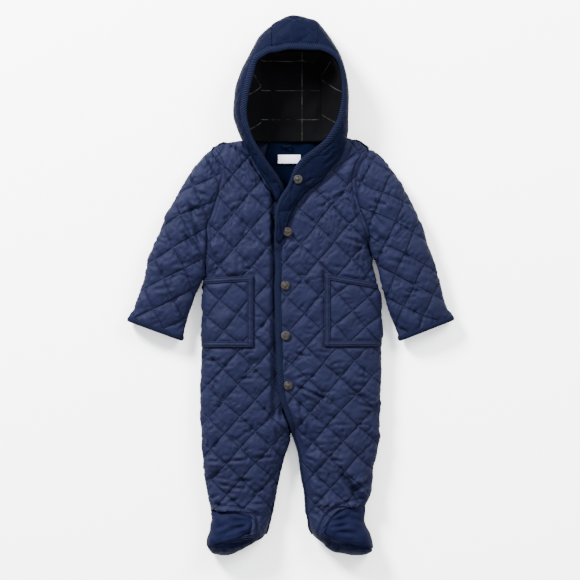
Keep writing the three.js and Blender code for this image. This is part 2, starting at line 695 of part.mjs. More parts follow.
const HOOD_LEFT = table(HOOD, [
  [39.6, 350, 63.5, 41.8, 393.9, 26, 43.5, 370],
  [60, 343.5, 62, 61.5, 368, 25, 43, 348],
  [73, 328, 61, 76.5, 341, 24, 43, 322],
  [77.5, 305, 60, 85, 311, 24, 43, 296],
  [78, 284, 59, 88, 281, 24, 43, 268],
  [73.5, 256, 58, 87, 248, 24, 43, 240],
  [69, 243, 57, 87, 235, 22, 64, 227],
  [64.5, 235, 56, 85.5, 221.5, 31, 85.5, 221.5],
  [52.5, 217, 53, 80, 204, 31, 80, 204],
  [34.5, 202, 50, 67, 180, 33, 67, 180],
  [16.5, 188, 48, 45, 155, 34, 45, 155],
  [6.5, 173, 47, 24, 139, 35, 24, 139],
  [-3, 149, 45.5, 7.5, 118, 36, 7.5, 118],
  [-16, 128, 44, -2, 95, 36.5, -2, 95],
  [-21.5, 108, 43.5, -7.5, 77, 37, -7.5, 77],
  [-22.3, 88, 43, -13, 66, 37, -13, 66],
  [-22.3, 74, 42, -18.5, 62.5, 37, -18.5, 62.5],
]);
const RIM = 9; // width of cloth that the binding takes, from the rim out
const HOOD_CURL = 18;

// Gives each row its place along the hood, measured half way between the rim and the end.
function spaced(rows) {
  let at = 0;
  return rows.map((row, k) => {
    const middle = (r) => new THREE.Vector2((r.rimX + r.endX) / 2, (r.rimY + r.endY) / 2);
    if (k) at += middle(row).distanceTo(middle(rows[k - 1]));
    return { at, ...row };
  });
}

const hoodRing = (rows, half, onNeck) => (v) => {
  const at = THREE.MathUtils.clamp(v, 0, rows.at(-1).at);
  const get = (name) => along(rows, at, name);
  const rim = new THREE.Vector2(get("rimX"), get("rimY"));
  const end = new THREE.Vector2(get("endX"), get("endY"));
  const under = new THREE.Vector2(get("underX"), get("underY"));
  const share = half ? shoulderShare(end.x, end.y, half.shoulder) : 1;
  const nearCorner = half && end.distanceTo(half.shoulder[1]) < SHOULDER_ROUND;
  const endZ = onNeck(at) || nearCorner ? SEAM_HEIGHT + (get("endZ") - SEAM_HEIGHT) * share : get("endZ");
  const top = quarter(1, endZ, 0, get("rimZ"), true).map(([t, z]) => {
    const plan = rim.clone().lerp(end, t);
    return new THREE.Vector3(plan.x, plan.y, z);
  });
  const run = onNeck(at) ? 0 : end.distanceTo(under);
  if (run < 0.5) return { ...line(top, 0), flip: true };
  const curl = Math.min(HOOD_CURL, run * 0.8);
  const below = quarter(0, endZ, curl, 0).map(([t, z]) => {
    const plan = end.clone().lerp(under, t / run);
    return new THREE.Vector3(plan.x, plan.y, z);
  });
  below.push(new THREE.Vector3(under.x, under.y, 0));
  return { ...line([...top, ...below.slice(1)], 0), flip: true };
};

const HOOD_PARTS = {
  hood_side_right: {
    rows: spaced(HOOD_RIGHT),
    half: HALVES.right,
    onNeck: (at, corner) => at <= corner,
  },
  hood_centre: {
    rows: spaced(HOOD_CENTRE),
    half: null,
    onNeck: () => false,
  },
  hood_side_left: {
    rows: spaced(HOOD_LEFT),
    half: HALVES.left,
    onNeck: (at, corner) => at >= corner,
  },
};
for (const [name, { rows, half, onNeck }] of Object.entries(HOOD_PARTS)) {
  const corner = half && rows.find((row) => row.endY === half.shoulder[1].y).at;
  const ring = hoodRing(rows, half, (at) => onNeck(at, corner));
  const stations = lattice(0, rows.at(-1).at);
  const dips = (p, v) => smooth(Math.min(v, rows.at(-1).at - v), 0, SEAM_DIP);
  piece(
    name,
    wall({
      rows: stations,
      ring,
      from: () => RIM + 5 * SEAM,
      to: (here) => here.end - SEAM * 2,
      plain: dips,
    }),
    CLOTH,
  );
  piece(
    name.replace("hood", "hood_binding"),
    wall({
      rows: lattice(0.1, rows.at(-1).at - 0.1),
      ring,
      from: () => 0,
      to: () => RIM,
      outer: (u) => 0.6 + 2 * Math.sin((Math.PI * Math.min(Math.max(u, 0), RIM)) / RIM),
      step: RIM / 2,
    }),
    BOUND,
  );
}

// The lining inside the hood, a bowl of thin fleece from rim to rim, as rows across the hood.
const BOWL = table("at left right rim floor", [
  [217, -50, 47.5, 50, 9],
  [226, -55.5, 56.5, 50, 9],
  [240, -60.5, 65.5, 51, 9],
  [262, -63.5, 74, 52, 9],
  [280, -60.8, 76.5, 53, 9],
  [302, -55, 76, 54, 10],
  [320, -51, 72, 55, 14],
  [334, -44, 64, 56, 26],
  [342, -32, 54, 56, 40],
  [347, -18, 40, 56, 52],
]);
const FLEECE = 2;
const BOWL_POINTS = 24;
const bowlRing = (v) => {
  const [left, right, rim, floor] = ["left", "right", "rim", "floor"].map((name) => along(BOWL, v, name));
  const points = [];
  for (let k = 0; k <= BOWL_POINTS; k++) {
    const t = Math.sin((Math.PI / 2) * ((2 * k) / BOWL_POINTS - 1));
    const x = THREE.MathUtils.lerp(left, right, (t + 1) / 2);
    points.push(new THREE.Vector3(x, v, floor + (rim - floor) * t ** 6));
  }
  return line(points, BOWL_POINTS / 2);
};
const [bowlLow, bowlTop] = [BOWL[0].at, BOWL.at(-1).at];
piece(
  "hood_lining",
  wall({
    rows: [...lattice(bowlLow, 330, LATTICE * 1.5), 336, 341, 344.5, bowlTop],
    ring: bowlRing,
    inner: () => -FLEECE,
    outer: () => 0,
  }),
  LINING,
);

// The facing inside the back of the neck, flat on the back and running on under both fronts.
const FACING = table("at left right", [
  [112, -8, 2],
  [135, -24, 8],
  [160, -38, 28],
  [185, -42, 50],
  [200, -34, 54],
  [216.4, -31, 50],
]);
const FACING_HEIGHT = 7.5;
const facingRing = (v) => {
  const ends = ["left", "right"].map((name) => new THREE.Vector3(along(FACING, v, name), v, FACING_HEIGHT));
  const middle = new THREE.Vector3(0, v, FACING_HEIGHT);
  return line([ends[0], middle, ends[1]], 1);
};
piece(
  "neck_facing",
  wall({
    rows: lattice(FACING[0].at, FACING.at(-1).at, LATTICE * 2),
    ring: facingRing,
    inner: () => -FLEECE,
    outer: () => 0,
    step: LATTICE * 2,
  }),
  BOUND,
);

// A bare woven label sewn flat on the facing, and a hanging loop of cord above it.
const LABEL_SIZE = { width: 34, height: 13, thick: 0.8, x: -1, y: 189 };
const labelCloth = new THREE.BoxGeometry(LABEL_SIZE.width, LABEL_SIZE.height, LABEL_SIZE.thick);
const label = piece("label", labelCloth, LABEL);
label.position.set(LABEL_SIZE.x, LABEL_SIZE.y, FACING_HEIGHT + SEAM + LABEL_SIZE.thick / 2);

const LOOP = { x: -5, y: 209, reach: 6, rise: 5, radius: 1.4 };
const loopPath = new THREE.CatmullRomCurve3(
  [
    [-LOOP.reach, 0],
    [-LOOP.reach, LOOP.rise * 0.6],
    [0, LOOP.rise],
    [LOOP.reach, LOOP.rise * 0.6],
    [LOOP.reach, 0],
  ].map(([x, z]) => new THREE.Vector3(LOOP.x + x, LOOP.y, FACING_HEIGHT + SEAM + z)),
);
const cordSection = new THREE.Shape().absarc(0, 0, LOOP.radius, 0, 2 * Math.PI, false);
piece(
  "hanging_loop",
  new THREE.ExtrudeGeometry(cordSection, { extrudePath: loopPath, steps: 8, curveSegments: 3 }),
  BOUND,
);

// Bindings of the left front's edge, down to the crotch and on to the heel, and of the right inseam.
// The outside of a binding is round across its width, with blunt edges.
const ridge = (u, width) => {
  const share = THREE.MathUtils.clamp(u / width, 0.12, 0.88);
  return 1.5 * ON_TOP + BINDING.thick * Math.sin(Math.PI * share);
};
const EDGES = {
  binding_front: { side: "left", low: HEEL, high: 60, width: BINDING.width },
  binding_inseam: { side: "right", low: HEEL, high: -226, width: 7 },
};
for (const [name, { side, low, high, width }] of Object.entries(EDGES)) {
  const ring = frontRing(HALVES[side], 0);
  const strip = (v) => {
    const cloth = ring(v);
    const point = (u) => cloth.point(cloth.start + u);
    return { start: 0, end: width, point, flip: cloth.flip };
  };
  piece(
    name,
    wall({
      rows: rowsOf(low, high),
      ring: strip,
      from: () => (side === "left" ? 0 : SEAM),
      inner: () => 1.5 * ON_TOP,
      outer: (u) => ridge(u, width),
      step: width / 2,
    }),
    BOUND,
  );
}

// Pocket cloth and its binding, made from the points of the front that they lie on, moved out.
const POCKET_LIFT = 2.6;
const BAND = { width: 8.5, rise: 4.6 };
for (const [side, pocket] of Object.entries(POCKETS)) {
  const half = HALVES[side];
  const away = Math.sign(half.reference);
  const surface = frontRing(half, 0);
  const insideX = pocket.inner + away * BAND.width;
  const lowRow = pocket.low + BAND.width;
  const xs = lattice(0, Math.abs(pocket.outer - insideX), LATTICE / 2).map((d) => insideX + away * d);
  const slantRow = (height) => {
    const points = xs.map((x) => {
      const cloth = surface(height(x));
      return cloth.point(cloth.where(x));
    });
    return { ...line(points, 0), flip: away < 0 };
  };
  const depth = pocket.innerTop - BAND.width - lowRow;
  piece(
    `pocket_${side}`,
    wall({
      rows: lattice(SEAM * 2, depth - SEAM * 2),
      ring: (v) => {
        const share = v / depth;
        return slantRow((x) => lowRow + share * (pocketTop(pocket, x) - BAND.width - lowRow));
      },
      from: () => SEAM * 2,
      inner: () => ON_TOP,
      outer: (u, v) => POCKET_LIFT + 0.75 * quilting(u, v),
    }),
    CLOTH,
  );
  const upright = wall({
    rows: lattice(pocket.low, pocket.innerTop),
    ring: surface,
    from: (here) => here.where(pocket.inner),
    to: (here) => here.where(insideX),
    inner: () => 1.5 * ON_TOP,
    outer: () => BAND.rise,
  });
  const level = (height) => {
    const slant = (w) => {
      const points = lattice(0, Math.abs(pocket.outer - pocket.inner)).map((d) => {
        const x = pocket.inner + away * d;
        const cloth = surface(height(x) - w);
        return cloth.point(cloth.where(x));
      });
      return { ...line(points, 0), flip: away > 0 };
    };
    return wall({
      rows: [0.05, BAND.width / 2, BAND.width - 0.05],
      ring: slant,
      from: () => 0.1,
      inner: () => 2 * ON_TOP,
      outer: () => BAND.rise - 0.1,
    });
  };
  const top = level((x) => pocketTop(pocket, x));
  const bottom = level(() => lowRow);
  piece(`pocket_binding_${side}`, joined([upright, top, bottom]), BOUND);
}

// Snap caps of antiqued metal: a domed cap on a short post, down the left front and at the neck.
function snapCap() {
  const { radius, height } = SNAP;
  const profile = [
    [0, 0],
    [radius * 0.86, 0],
    [radius, height * 0.35],
    [radius * 0.7, height * 0.92],
    [radius * 0.3, height],
    [0, height],
  ].map(([x, y]) => new THREE.Vector2(x, y));
  return new THREE.LatheGeometry(profile, 12).rotateX(Math.PI / 2);
}

SNAPS.forEach(({ x, y, z }, k) => piece(`snap_${k + 1}`, snapCap(), METAL).position.set(x, y, z));

// The part stands on the middle of its own box.
const box = new THREE.Box3().setFromObject(garment);
garment.position.set(-(box.min.x + box.max.x) / 2, -(box.min.y + box.max.y) / 2, -box.min.z);

export default garment;
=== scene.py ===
import bpy
import numpy as np
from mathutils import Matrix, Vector


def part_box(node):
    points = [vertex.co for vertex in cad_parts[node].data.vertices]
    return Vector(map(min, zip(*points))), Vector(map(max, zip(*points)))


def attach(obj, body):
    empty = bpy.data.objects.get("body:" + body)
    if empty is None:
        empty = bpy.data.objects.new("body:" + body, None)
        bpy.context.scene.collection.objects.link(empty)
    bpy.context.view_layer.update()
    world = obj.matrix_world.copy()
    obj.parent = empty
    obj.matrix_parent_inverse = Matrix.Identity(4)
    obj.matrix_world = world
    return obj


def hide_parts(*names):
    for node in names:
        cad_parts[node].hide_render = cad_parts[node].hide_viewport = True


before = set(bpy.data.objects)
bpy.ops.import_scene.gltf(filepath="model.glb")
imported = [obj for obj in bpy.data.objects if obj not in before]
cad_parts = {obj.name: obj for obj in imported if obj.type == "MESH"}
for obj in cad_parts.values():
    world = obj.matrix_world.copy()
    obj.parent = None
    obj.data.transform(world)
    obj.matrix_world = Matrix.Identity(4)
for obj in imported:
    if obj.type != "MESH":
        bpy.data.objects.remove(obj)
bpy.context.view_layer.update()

# The surface that the suit lies on, the soft light over it, and the camera straight above. Garment
# measures below are millimetres from the middle of the front, as it was cut, and MM makes them metres.
MM = 0.001
SNAP_AT_MIDDLE = (-7, 0)  # the third snap, in garment measures: it shows where the frame has its origin
FRAME_WIDTH = 870  # of surface across the picture
VIEW_CENTRE = (0, -6.75)
CAMERA_HEIGHT = 6000
SENSOR = 36
FLOOR_SIZE = 12
FLOOR_DROP = 0.5  # the floor lies this far under the cloth
ROOM_LIGHT = 2.6

third = sum(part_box("snap_3"), Vector()) / 2
shift = np.array([third.x / MM - SNAP_AT_MIDDLE[0], third.y / MM - SNAP_AT_MIDDLE[1], 0.0])


def linear(hex_colour):
    """An sRGB hex colour as the linear RGBA that shaders take."""
    parts = [int(hex_colour[k:k + 2], 16) / 255 for k in (1, 3, 5)]
    return [c / 12.92 if c <= 0.04045 else ((c + 0.055) / 1.055) ** 2.4 for c in parts] + [1.0]


def new_material(name):
    """A named material with a Principled shader to build on."""
    material = bpy.data.materials.new(name)
    material.use_nodes = True
    return material, material.node_tree.nodes["Principled BSDF"]


def node(material, kind, inputs=None, **settings):
    """Adds one shader node. inputs maps a socket to a value or to another node's output."""
    made = material.node_tree.nodes.new("ShaderNode" + kind)
    for name, value in settings.items():
        setattr(made, name, value)
    feed(material, made, inputs or {})
    return made


def feed(material, made, inputs):
    """Sets or links the inputs of a node that is there already."""
    for socket, value in inputs.items():
        if isinstance(value, bpy.types.NodeSocket):
            material.node_tree.links.new(value, made.inputs[socket])
        else:
            made.inputs[socket].default_value = value


bpy.ops.object.select_all(action="DESELECT")
bpy.ops.mesh.primitive_plane_add(size=FLOOR_SIZE, location=(0, 0, -FLOOR_DROP * MM))
floor = bpy.context.object
floor.name = "surface"
paper, shader = new_material("matt_white_paper")
grain = node(paper, "TexNoise", {"Scale": 900.0, "Detail": 2.0})
rough_paper = node(paper, "Bump", {"Height": grain.outputs["Fac"], "Strength": 0.04, "Distance": 0.0004})
feed(paper, shader, {"Base Color": linear("#fbfbfb"), "Roughness": 0.9, "Normal": rough_paper.outputs[0]})
floor.data.materials.append(paper)

world = bpy.data.worlds.new("soft_room")
bpy.context.scene.world = world
world.use_nodes = True
feed(world, world.node_tree.nodes["Background"], {"Color": linear("#f2f4f8"), "Strength": ROOM_LIGHT})

LIGHTS = [
    # name, place, size, power
    ("key_upper_left", (-1.7, 2.1, 1.7), 0.8, 680),
    ("fill_upper_right", (1.7, 1.7, 2.0), 1.2, 230),
]
for name, place, size, power in LIGHTS:
    light = bpy.data.lights.new(name, "AREA")
    light.size = size
    light.energy = power
    lamp = bpy.data.objects.new(name, light)
    lamp.location = place
    lamp.rotation_euler = (-Vector(place)).to_track_quat("-Z", "Y").to_euler()
    bpy.context.scene.collection.objects.link(lamp)

lens = bpy.data.cameras.new("camera")
lens.sensor_width = SENSOR
lens.lens = SENSOR * CAMERA_HEIGHT / FRAME_WIDTH
lens.clip_end = 20
camera = bpy.data.objects.new("camera", lens)
camera.location = (np.array([*VIEW_CENTRE, CAMERA_HEIGHT]) + shift) * MM
bpy.context.scene.collection.objects.link(camera)
bpy.context.scene.camera = camera


# The fronts, each with its leg: navy polyester taffeta quilted through wadding to a backing in
# diamonds. They are cut flat, joined to the back at the side seams, and close with a left-over-right lap.
# Colour of the painted shade in the groove beside each stitched line, then the thread's own colour.
GROOVE_PAINTED_SHADE = "#04050b"
THREAD = "#121630"
WALL = 2.2  # face, wadding and backing, pressed together
PUFF = 3.6  # rise of the middle of a diamond above its stitched lines
PUFF_EDGE = 4.6  # how far from a stitched line the wadding reaches most of its height
PUCKER = 0.42  # of the small gathers beside a stitched line
PUCKER_REACH = 3.6  # how far from the line they are highest
GATHERS = (8.6, 9.7)  # from one to the next, along the two families of lines
FOLDS = (2.7, 1.7)  # depth of the narrow folds that lie across the cloth, larger and smaller
WAVES = (0.5, 0.25)  # height of the soft waves between them
WAVES_SUMMED = 14
CREASE_DEPTH = 1.35  # of a listed crease, against the depth in its table
CREASE_RIDGE = (0.9, 2.6)  # of the ridge beside it, and the depth beyond which that no longer grows
DIAMOND = 33
GROWTH = 0.0005  # growth of the diamonds with each millimetre up the body
WANDER = 0.9  # how far the stitched lines stray to each side
STITCH = 3.4  # from one needle hole to the next
SEAM_HEIGHT = 14
ARMHOLE = {"over": 38, "rise": 17}  # its front edge rises by this over the first stretch above the armpit
FLAT_AT = 0.05  # cloth below this height rests on the surface
SEAM_DIP = 7  # the quilting flattens over this width beside a seam
CURL = 17
SHOULDER_ROUND = 22
LAP = {"from": -33, "to": -23, "drop": 6.4, "crotch": -205, "ends": -192}
BINDING_WIDTH = 9
QUARTER = 30  # steps in each quarter of a section
FULL = 0.82  # under 1 makes a section squarer than an ellipse
PITCH = 2.3  # between the points of the cloth
TOE = -404


def table(columns, rows):
    """Rows of numbers as named columns."""
    return dict(zip(columns.split(), np.array(rows, float).T))


BODY = "at outer crown edge mid high edgeTop edgeLow low"
RIGHT_HALF = table(BODY, [
    [-404, -104, -98, -92, -92, 15, 14, 14, 13],
    [-401, -116, -102, -84, -84, 27, 14, 14, 7],
    [-397, -120, -100, -75, -75, 36, 14, 14, 0],
    [-385, -124.5, -93, -54, -54, 45, 14, 14, 0],
    [-373, -121.5, -84, -37.5, -37.5, 48, 14, 14, 0],
    [-361, -118.5, -80, -33, -33, 46, 14, 14, 0],
    [-349, -117, -78, -30, -30, 42, 14, 14, 0],
    [-337, -118.5, -76, -27, -27, 37, 14, 14, 0],
    [-313, -123, -74, -22.5, -22.5, 35, 14, 14, 0],
    [-289, -127.5, -73, -18, -18, 36, 14, 14, 0],
    [-253, -130.5, -71, -9, -9, 37, 14, 14, 0],
    [-241, -132, -70, -4.5, -4.5, 37, 14, 14, 0],
    [-229, -132, -69, -1.5, -1.5, 37, 15, 13, 0],
    [-220, -132.5, -68, -1, 1.2, 37, 18, 10, 0],
    [-212, -133, -67, -2, 2.5, 37, 24, 5, 0],
    [-200, -133.5, -67, -6, 2.5, 37, 31, 0, 0],
    [-185, -134, -66, -11, 2.5, 37, 33, 0, 0],
    [-178, -134, -66, -4, 2.5, 37, 34, 0, 0],
    [-170, -134, -66, 2, 2.5, 37, 34, 0, 0],
    [-97, -132, -64, 2, 2.5, 37, 35, 0, 0],
    [-25, -129, -62, 2, 2.5, 37, 35, 0, 0],
    [13, -128.5, -62, 2, 2.5, 37, 35, 0, 0],
    [35, -127.5, -62, 2, 2.5, 37, 35, 0, 0],
    [58, -126, -62, 2, 2.5, 37, 35, 0, 0],
    [86, -126, -62, 2, 2.5, 36, 35, 0, 0],
    [104, -119.5, -62, 2, 2.5, 36, 35, 0, 0],
    [110, -117.5, -62, -13, 2.5, 36, 35, 0, 0],
    [125, -113, -64, -20, 2.5, 36, 34, 0, 0],
    [144, -107.4, -66, -30.5, 2.5, 35, 34, 0, 0],
    [163.5, -103.5, -70, -41, 2.5, 34, 33, 0, 0],
    [182.5, -107.4, -76, -52, 2.5, 33, 32, 0, 0],
    [203, -117, -88, -64, 2.5, 32, 31, 0, 0],
    [208, -110.5, -84, -66, 2.5, 32, 31, 0, 0],
    [213.5, -95, -80, -69, 2.5, 32, 31, 0, 0],
    [217.5, -73, -72.5, -72, 2.5, 32, 31, 0, 0],
])
LEFT_HALF = table(BODY, [
    [-404, 106, 98, 92, 92, 15, 14, 14, 13],
    [-401, 118, 104, 78, 78, 27, 14, 14, 7],
    [-397, 123, 104, 61.5, 61.5, 36, 14, 14, 0],
    [-385, 123, 96, 48, 48, 45, 14, 14, 0],
    [-373, 120, 86, 34.5, 34.5, 48, 14, 14, 0],
    [-361, 114, 80, 28.5, 28.5, 46, 14, 14, 0],
    [-349, 111, 76, 27, 27, 42, 14, 14, 0],
    [-337, 111, 74, 24, 24, 38, 14, 14, 0],
    [-313, 120, 74, 22.5, 22.5, 36, 14, 14, 0],
    [-289, 123, 74, 18, 18, 36, 14, 14, 0],
    [-265, 126, 73, 15, 15, 37, 14, 14, 0],
    [-253, 129, 73, 13.5, 13.5, 37, 14, 14, 0],
    [-241, 132, 72, 10.5, 10.5, 37, 14, 14, 0],
    [-229, 133, 71, 6.5, 6.5, 37, 15, 13, 0],
    [-220, 133.5, 70, 3, 3, 37, 18, 10, 0],
    [-212, 133.5, 68, 1, 1.5, 37, 24, 5, 0],
    [-200, 134, 66, -3.5, 1.5, 37, 31, 0, 0],
    [-185, 134.5, 65, -9, 1.5, 37, 33, 0, 0],
    [-170, 135, 64, -14.5, 1.5, 37, 34, 0, 0],
    [-144, 136, 62, -18.5, 1.5, 37, 35, 0, 0],
    [-97, 136.5, 60, -20, 1.5, 37, 35, 0, 0],
    [-49, 135, 60, -21.5, 1.5, 37, 35, 0, 0],
    [0, 130.5, 60, -22.5, 1.5, 37, 35, 0, 0],
    [20, 125, 60, -21.5, 1.5, 37, 35, 0, 0],
    [50, 121.5, 60, -22, 1.5, 37, 35, 0, 0],
    [58, 121.2, 60, -21, 1.5, 37, 35, 0, 0],
    [64, 121, 60, -15, 1.5, 37, 35, 0, 0],
    [76, 120, 60, -8, 1.5, 36.5, 35, 0, 0],
    [95, 114.5, 61, -2, 1.5, 36, 35, 0, 0],
    [118, 105.5, 64, 7.5, 1.5, 36, 34, 0, 0],
    [139, 101, 68, 24, 1.5, 35, 34, 0, 0],
    [157, 100, 74, 48, 1.5, 34, 33, 0, 0],
    [179, 104.5, 86, 67.5, 1.5, 33, 32, 0, 0],
    [203, 117.5, 98, 80, 1.5, 32, 31, 0, 0],
    [209, 111.5, 95, 81.5, 1.5, 32, 31, 0, 0],
    [215.5, 101, 91, 83.5, 1.5, 32, 31, 0, 0],
    [221.5, 86.5, 86, 85.5, 1.5, 32, 31, 0, 0],
])
HALVES = {
    "right": {
        "rows": RIGHT_HALF,
        "reference": -62,
        "away": -1,
        "armpit": 12.8,
        "shoulder": np.array([[-117, 203.5], [-110.5, 208], [-95, 213.5], [-72, 217.5]]),
        "grain": (-2, 36, -220.6),  # turn of the quilting in degrees, and one crossing of its lines
        "leg_end": -337,
    },
    "left": {
        "rows": LEFT_HALF,
        "reference": 62,
        "away": 1,
        "armpit": 50.2,
        "shoulder": np.array([[117.5, 203.5], [111.5, 209], [101, 215.5], [85.5, 221.5]]),
        "grain": (3, -6.9, -211.1),
        "leg_end": -328,
    },
}


def smooth(value, low, high):
    """A soft step from 0 at low to 1 at high."""
    t = np.clip((value - low) / (high - low), 0, 1)
    return t * t * (3 - 2 * t)


def bell(value, middle, width):
    """A soft bump, 1 high at its middle."""
    return np.exp(-(((value - middle) / width) ** 2))


def run_along(line):
    """Lengths along a line of points, from its first."""
    return np.concatenate([[0], np.cumsum(np.linalg.norm(np.diff(line, axis=0), axis=1))])


def on_line(at, lengths, line):
    """Places on a line of points, at some lengths along it."""
    return np.stack([np.interp(at, lengths, column) for column in line.T], -1)


def along(rows, at, name):
    """One column between two rows, on a smooth curve that never overshoots its rows."""
    places, values = rows["at"], rows[name]
    at = np.clip(at, places[0], places[-1])
    gaps = np.diff(places)
    steps = np.diff(values) / gaps
    product = steps[:-1] * steps[1:]
    total = np.where(product > 0, steps[:-1] + steps[1:], 1)
    slopes = np.concatenate([[0], np.where(product > 0, 2 * product / total, 0), [0]])
    k = np.clip(np.searchsorted(places, at, side="left") - 1, 0, len(places) - 2)
    t = (at - places[k]) / gaps[k]
    rise = (values[k + 1] - values[k]) * t * t * (3 - 2 * t)
    return values[k] + rise + gaps[k] * (t * (1 - t) ** 2 * slopes[k] - t * t * (1 - t) * slopes[k + 1])


def shoulder_share(x, y, shoulder):
    """Share of its height that the body keeps near the shoulder seam."""
    x, y = np.broadcast_arrays(np.asarray(x, float), y)
    away = np.full(x.shape, 1.0)
    for low, high in zip(shoulder[:-1], shoulder[1:]):
        way = high - low
        off = np.stack([x - low[0], y - low[1]], -1)
        t = np.clip(off @ way / (way @ way), 0, 1)
        away = np.minimum(away, np.linalg.norm(off - t[..., None] * way, axis=-1) / SHOULDER_ROUND)
    return np.sqrt(1 - (1 - away) ** 2)


def armhole_height(above, on_front):
    """Height of the armhole seam on the front or the back: it opens up from the armpit."""
    share = smooth(above, 0, ARMHOLE["over"])
    return SEAM_HEIGHT + ARMHOLE["rise"] * share if on_front else SEAM_HEIGHT * (1 - share)


def quarter(end, end_height, crown, crown_height, backwards=False):
    """A quarter of a section, from a steep end to a level crown, as columns across and up."""
    angle = np.linspace(0, np.pi / 2, QUARTER + 1)
    if backwards:
        angle = angle[::-1]
    across = crown + (end - crown) * np.abs(np.cos(angle)) ** FULL
    return np.stack([across, end_height + (crown_height - end_height) * np.sin(angle) ** FULL], 1)


def body_section(half, y, lap=0):
    """The cloth of one half at a place along the body: over the front, and back under it."""
    shoulder, armpit = half["shoulder"], half["armpit"]
    at = float(np.clip(y, TOE, shoulder[-1][1]))
    outer, crown, edge, mid, high, edge_top, edge_low, low = (
        along(half["rows"], at, name) for name in BODY.split()[1:]
    )
    outer_top = armhole_height(at - armpit, True) if at > armpit else SEAM_HEIGHT
    outer_low = armhole_height(at - armpit, False) if at > armpit else SEAM_HEIGHT
    reach = min(CURL, abs(outer - mid) * 0.45)
    top = np.vstack([
        quarter(edge, edge_top, crown, high),
        quarter(outer, outer_top, crown, high, True)[1:],
    ])
    under = np.vstack([
        quarter(outer, outer_low, outer - half["away"] * reach, low),
        quarter(mid, edge_low, mid + half["away"] * reach, low, True),
    ])

    def placed(section):
        x, z = section.T
        share = shoulder_share(x, at, shoulder) if at > shoulder[0][1] - 60 else 1
        dip = lap * LAP["drop"] * smooth(x, LAP["from"], LAP["to"]) * smooth(at, LAP["crotch"], LAP["ends"])
        return np.stack([x, np.full_like(x, at), SEAM_HEIGHT + (z - dip - SEAM_HEIGHT) * share], 1)

    return placed(top), placed(under)


class Ring:
    """A line of cloth across a piece, with lengths counted from a reference place on it."""

    def __init__(self, points, zero=0.0):
        self.points = points
        self.lengths = run_along(points) - zero
        self.start, self.end = self.lengths[0], self.lengths[-1]


def referred(points, half):
    """A ring across one half of the body, with lengths counted outward from its reference line."""
    outward = (points[:, 0] - half["reference"]) * half["away"]
    made = Ring(points, np.interp(0, outward, run_along(points)))
    made.where = lambda x: np.interp((x - half["reference"]) * half["away"], outward, made.lengths)
    return made


def front_ring(half, lap=0):
    """Rings over one front, from the front edge to the side."""
    return lambda y: referred(body_section(half, y, lap)[0], half)


def laid(ring, stations, start=lambda here, v: here.start, end=lambda here, v: here.end, pitch=PITCH):
    """A grid of points on the cloth, with the length across and along it at each."""
    spans = [(here, start(here, v), end(here, v)) for v in stations for here in [ring(v)]]
    widest = max(high - low for _, low, high in spans)
    share = np.linspace(0, 1, max(int(np.ceil(widest / pitch)), 2) + 1)
    u = np.array([low + (high - low) * share for _, low, high in spans])
    points = np.array([on_line(row, here.lengths, here.points) for (here, _, _), row in zip(spans, u)])
    v = np.repeat(np.asarray(stations, float)[:, None], len(share), 1)
    return points, u, v


def facing(points, inward):
    """The outward direction of the cloth at each point of a grid."""
    normal = np.cross(np.gradient(points, axis=1), np.gradient(points, axis=0))
    normal *= -1 if inward else 1
    size = np.linalg.norm(normal, axis=2, keepdims=True)
    normal = np.where(size > 1e-9, normal / np.maximum(size, 1e-9), [0, 0, 1])
    normal[points[..., 2] < FLAT_AT] = [0, 0, -1]
    return normal


def from_edge(u):
    """How far in from the nearer of its two long edges each point of a grid is."""
    return np.minimum(u - u[:, :1], u[:, -1:] - u)


def crumple(u, v, seed, wavelength):
    """Soft uneven waves in the cloth, about 1 high and low, of about one wavelength. Each use has a seed
    of its own, so that no two pieces crumple alike."""
    random = np.random.default_rng(seed)
    total = np.zeros_like(u)
    for _ in range(WAVES_SUMMED):
        way = random.uniform(0, 2 * np.pi)
        number = 2 * np.pi / (wavelength * random.uniform(0.65, 1.6))
        total += np.sin(number * (u * np.cos(way) + v * np.sin(way)) + random.uniform(0, 6.3))
    return total / 4


def turned(x, y, turn):
    """Lengths along axes that are turned by some degrees."""
    angle = np.radians(turn)
    return x * np.cos(angle) + y * np.sin(angle), y * np.cos(angle) - x * np.sin(angle)


def stitch_axes(u, v, turn, across, up):
    """Lengths along the two families of stitched lines, from one of their crossings. The lines wander a
    little, and are closer on the legs than on the chest, as the cloth has drawn up there."""
    grown = 1 + GROWTH * (np.clip(v, -260, 170) - up) / 2
    p, q = turned((u - across) / grown, (v - up) / grown, turn)
    s = (p + q) / np.sqrt(2) + WANDER * crumple(u, v, 7, 75)
    t = (p - q) / np.sqrt(2) + WANDER * crumple(u, v, 8, 75)
    return np.stack([s, t], -1)


def quilted(u, v, grain, seed):
    """Height of the quilting: soft diamonds, with puckers that run up to each stitched line."""
    s, t = np.moveaxis(stitch_axes(u, v, *grain), -1, 0)
    off_s = np.abs((s / DIAMOND + 0.5) % 1 - 0.5) * DIAMOND
    off_t = np.abs((t / DIAMOND + 0.5) % 1 - 0.5) * DIAMOND
    puff = (1 - np.exp(-off_s / PUFF_EDGE)) * (1 - np.exp(-off_t / PUFF_EDGE))
    puff *= 1 + 0.3 * crumple(u, v, seed, 45)
    bend = crumple(u, v, seed + 1, 24)
    pucker = np.sin(2 * np.pi * t / GATHERS[0] + 2.1 * bend) * off_s * np.exp(-off_s / PUCKER_REACH)
    pucker += np.sin(2 * np.pi * s / GATHERS[1] + 2.3 * bend) * off_t * np.exp(-off_t / PUCKER_REACH)
    return PUFF * puff + PUCKER * pucker * (1 + 0.5 * crumple(u, v, seed + 6, 60))


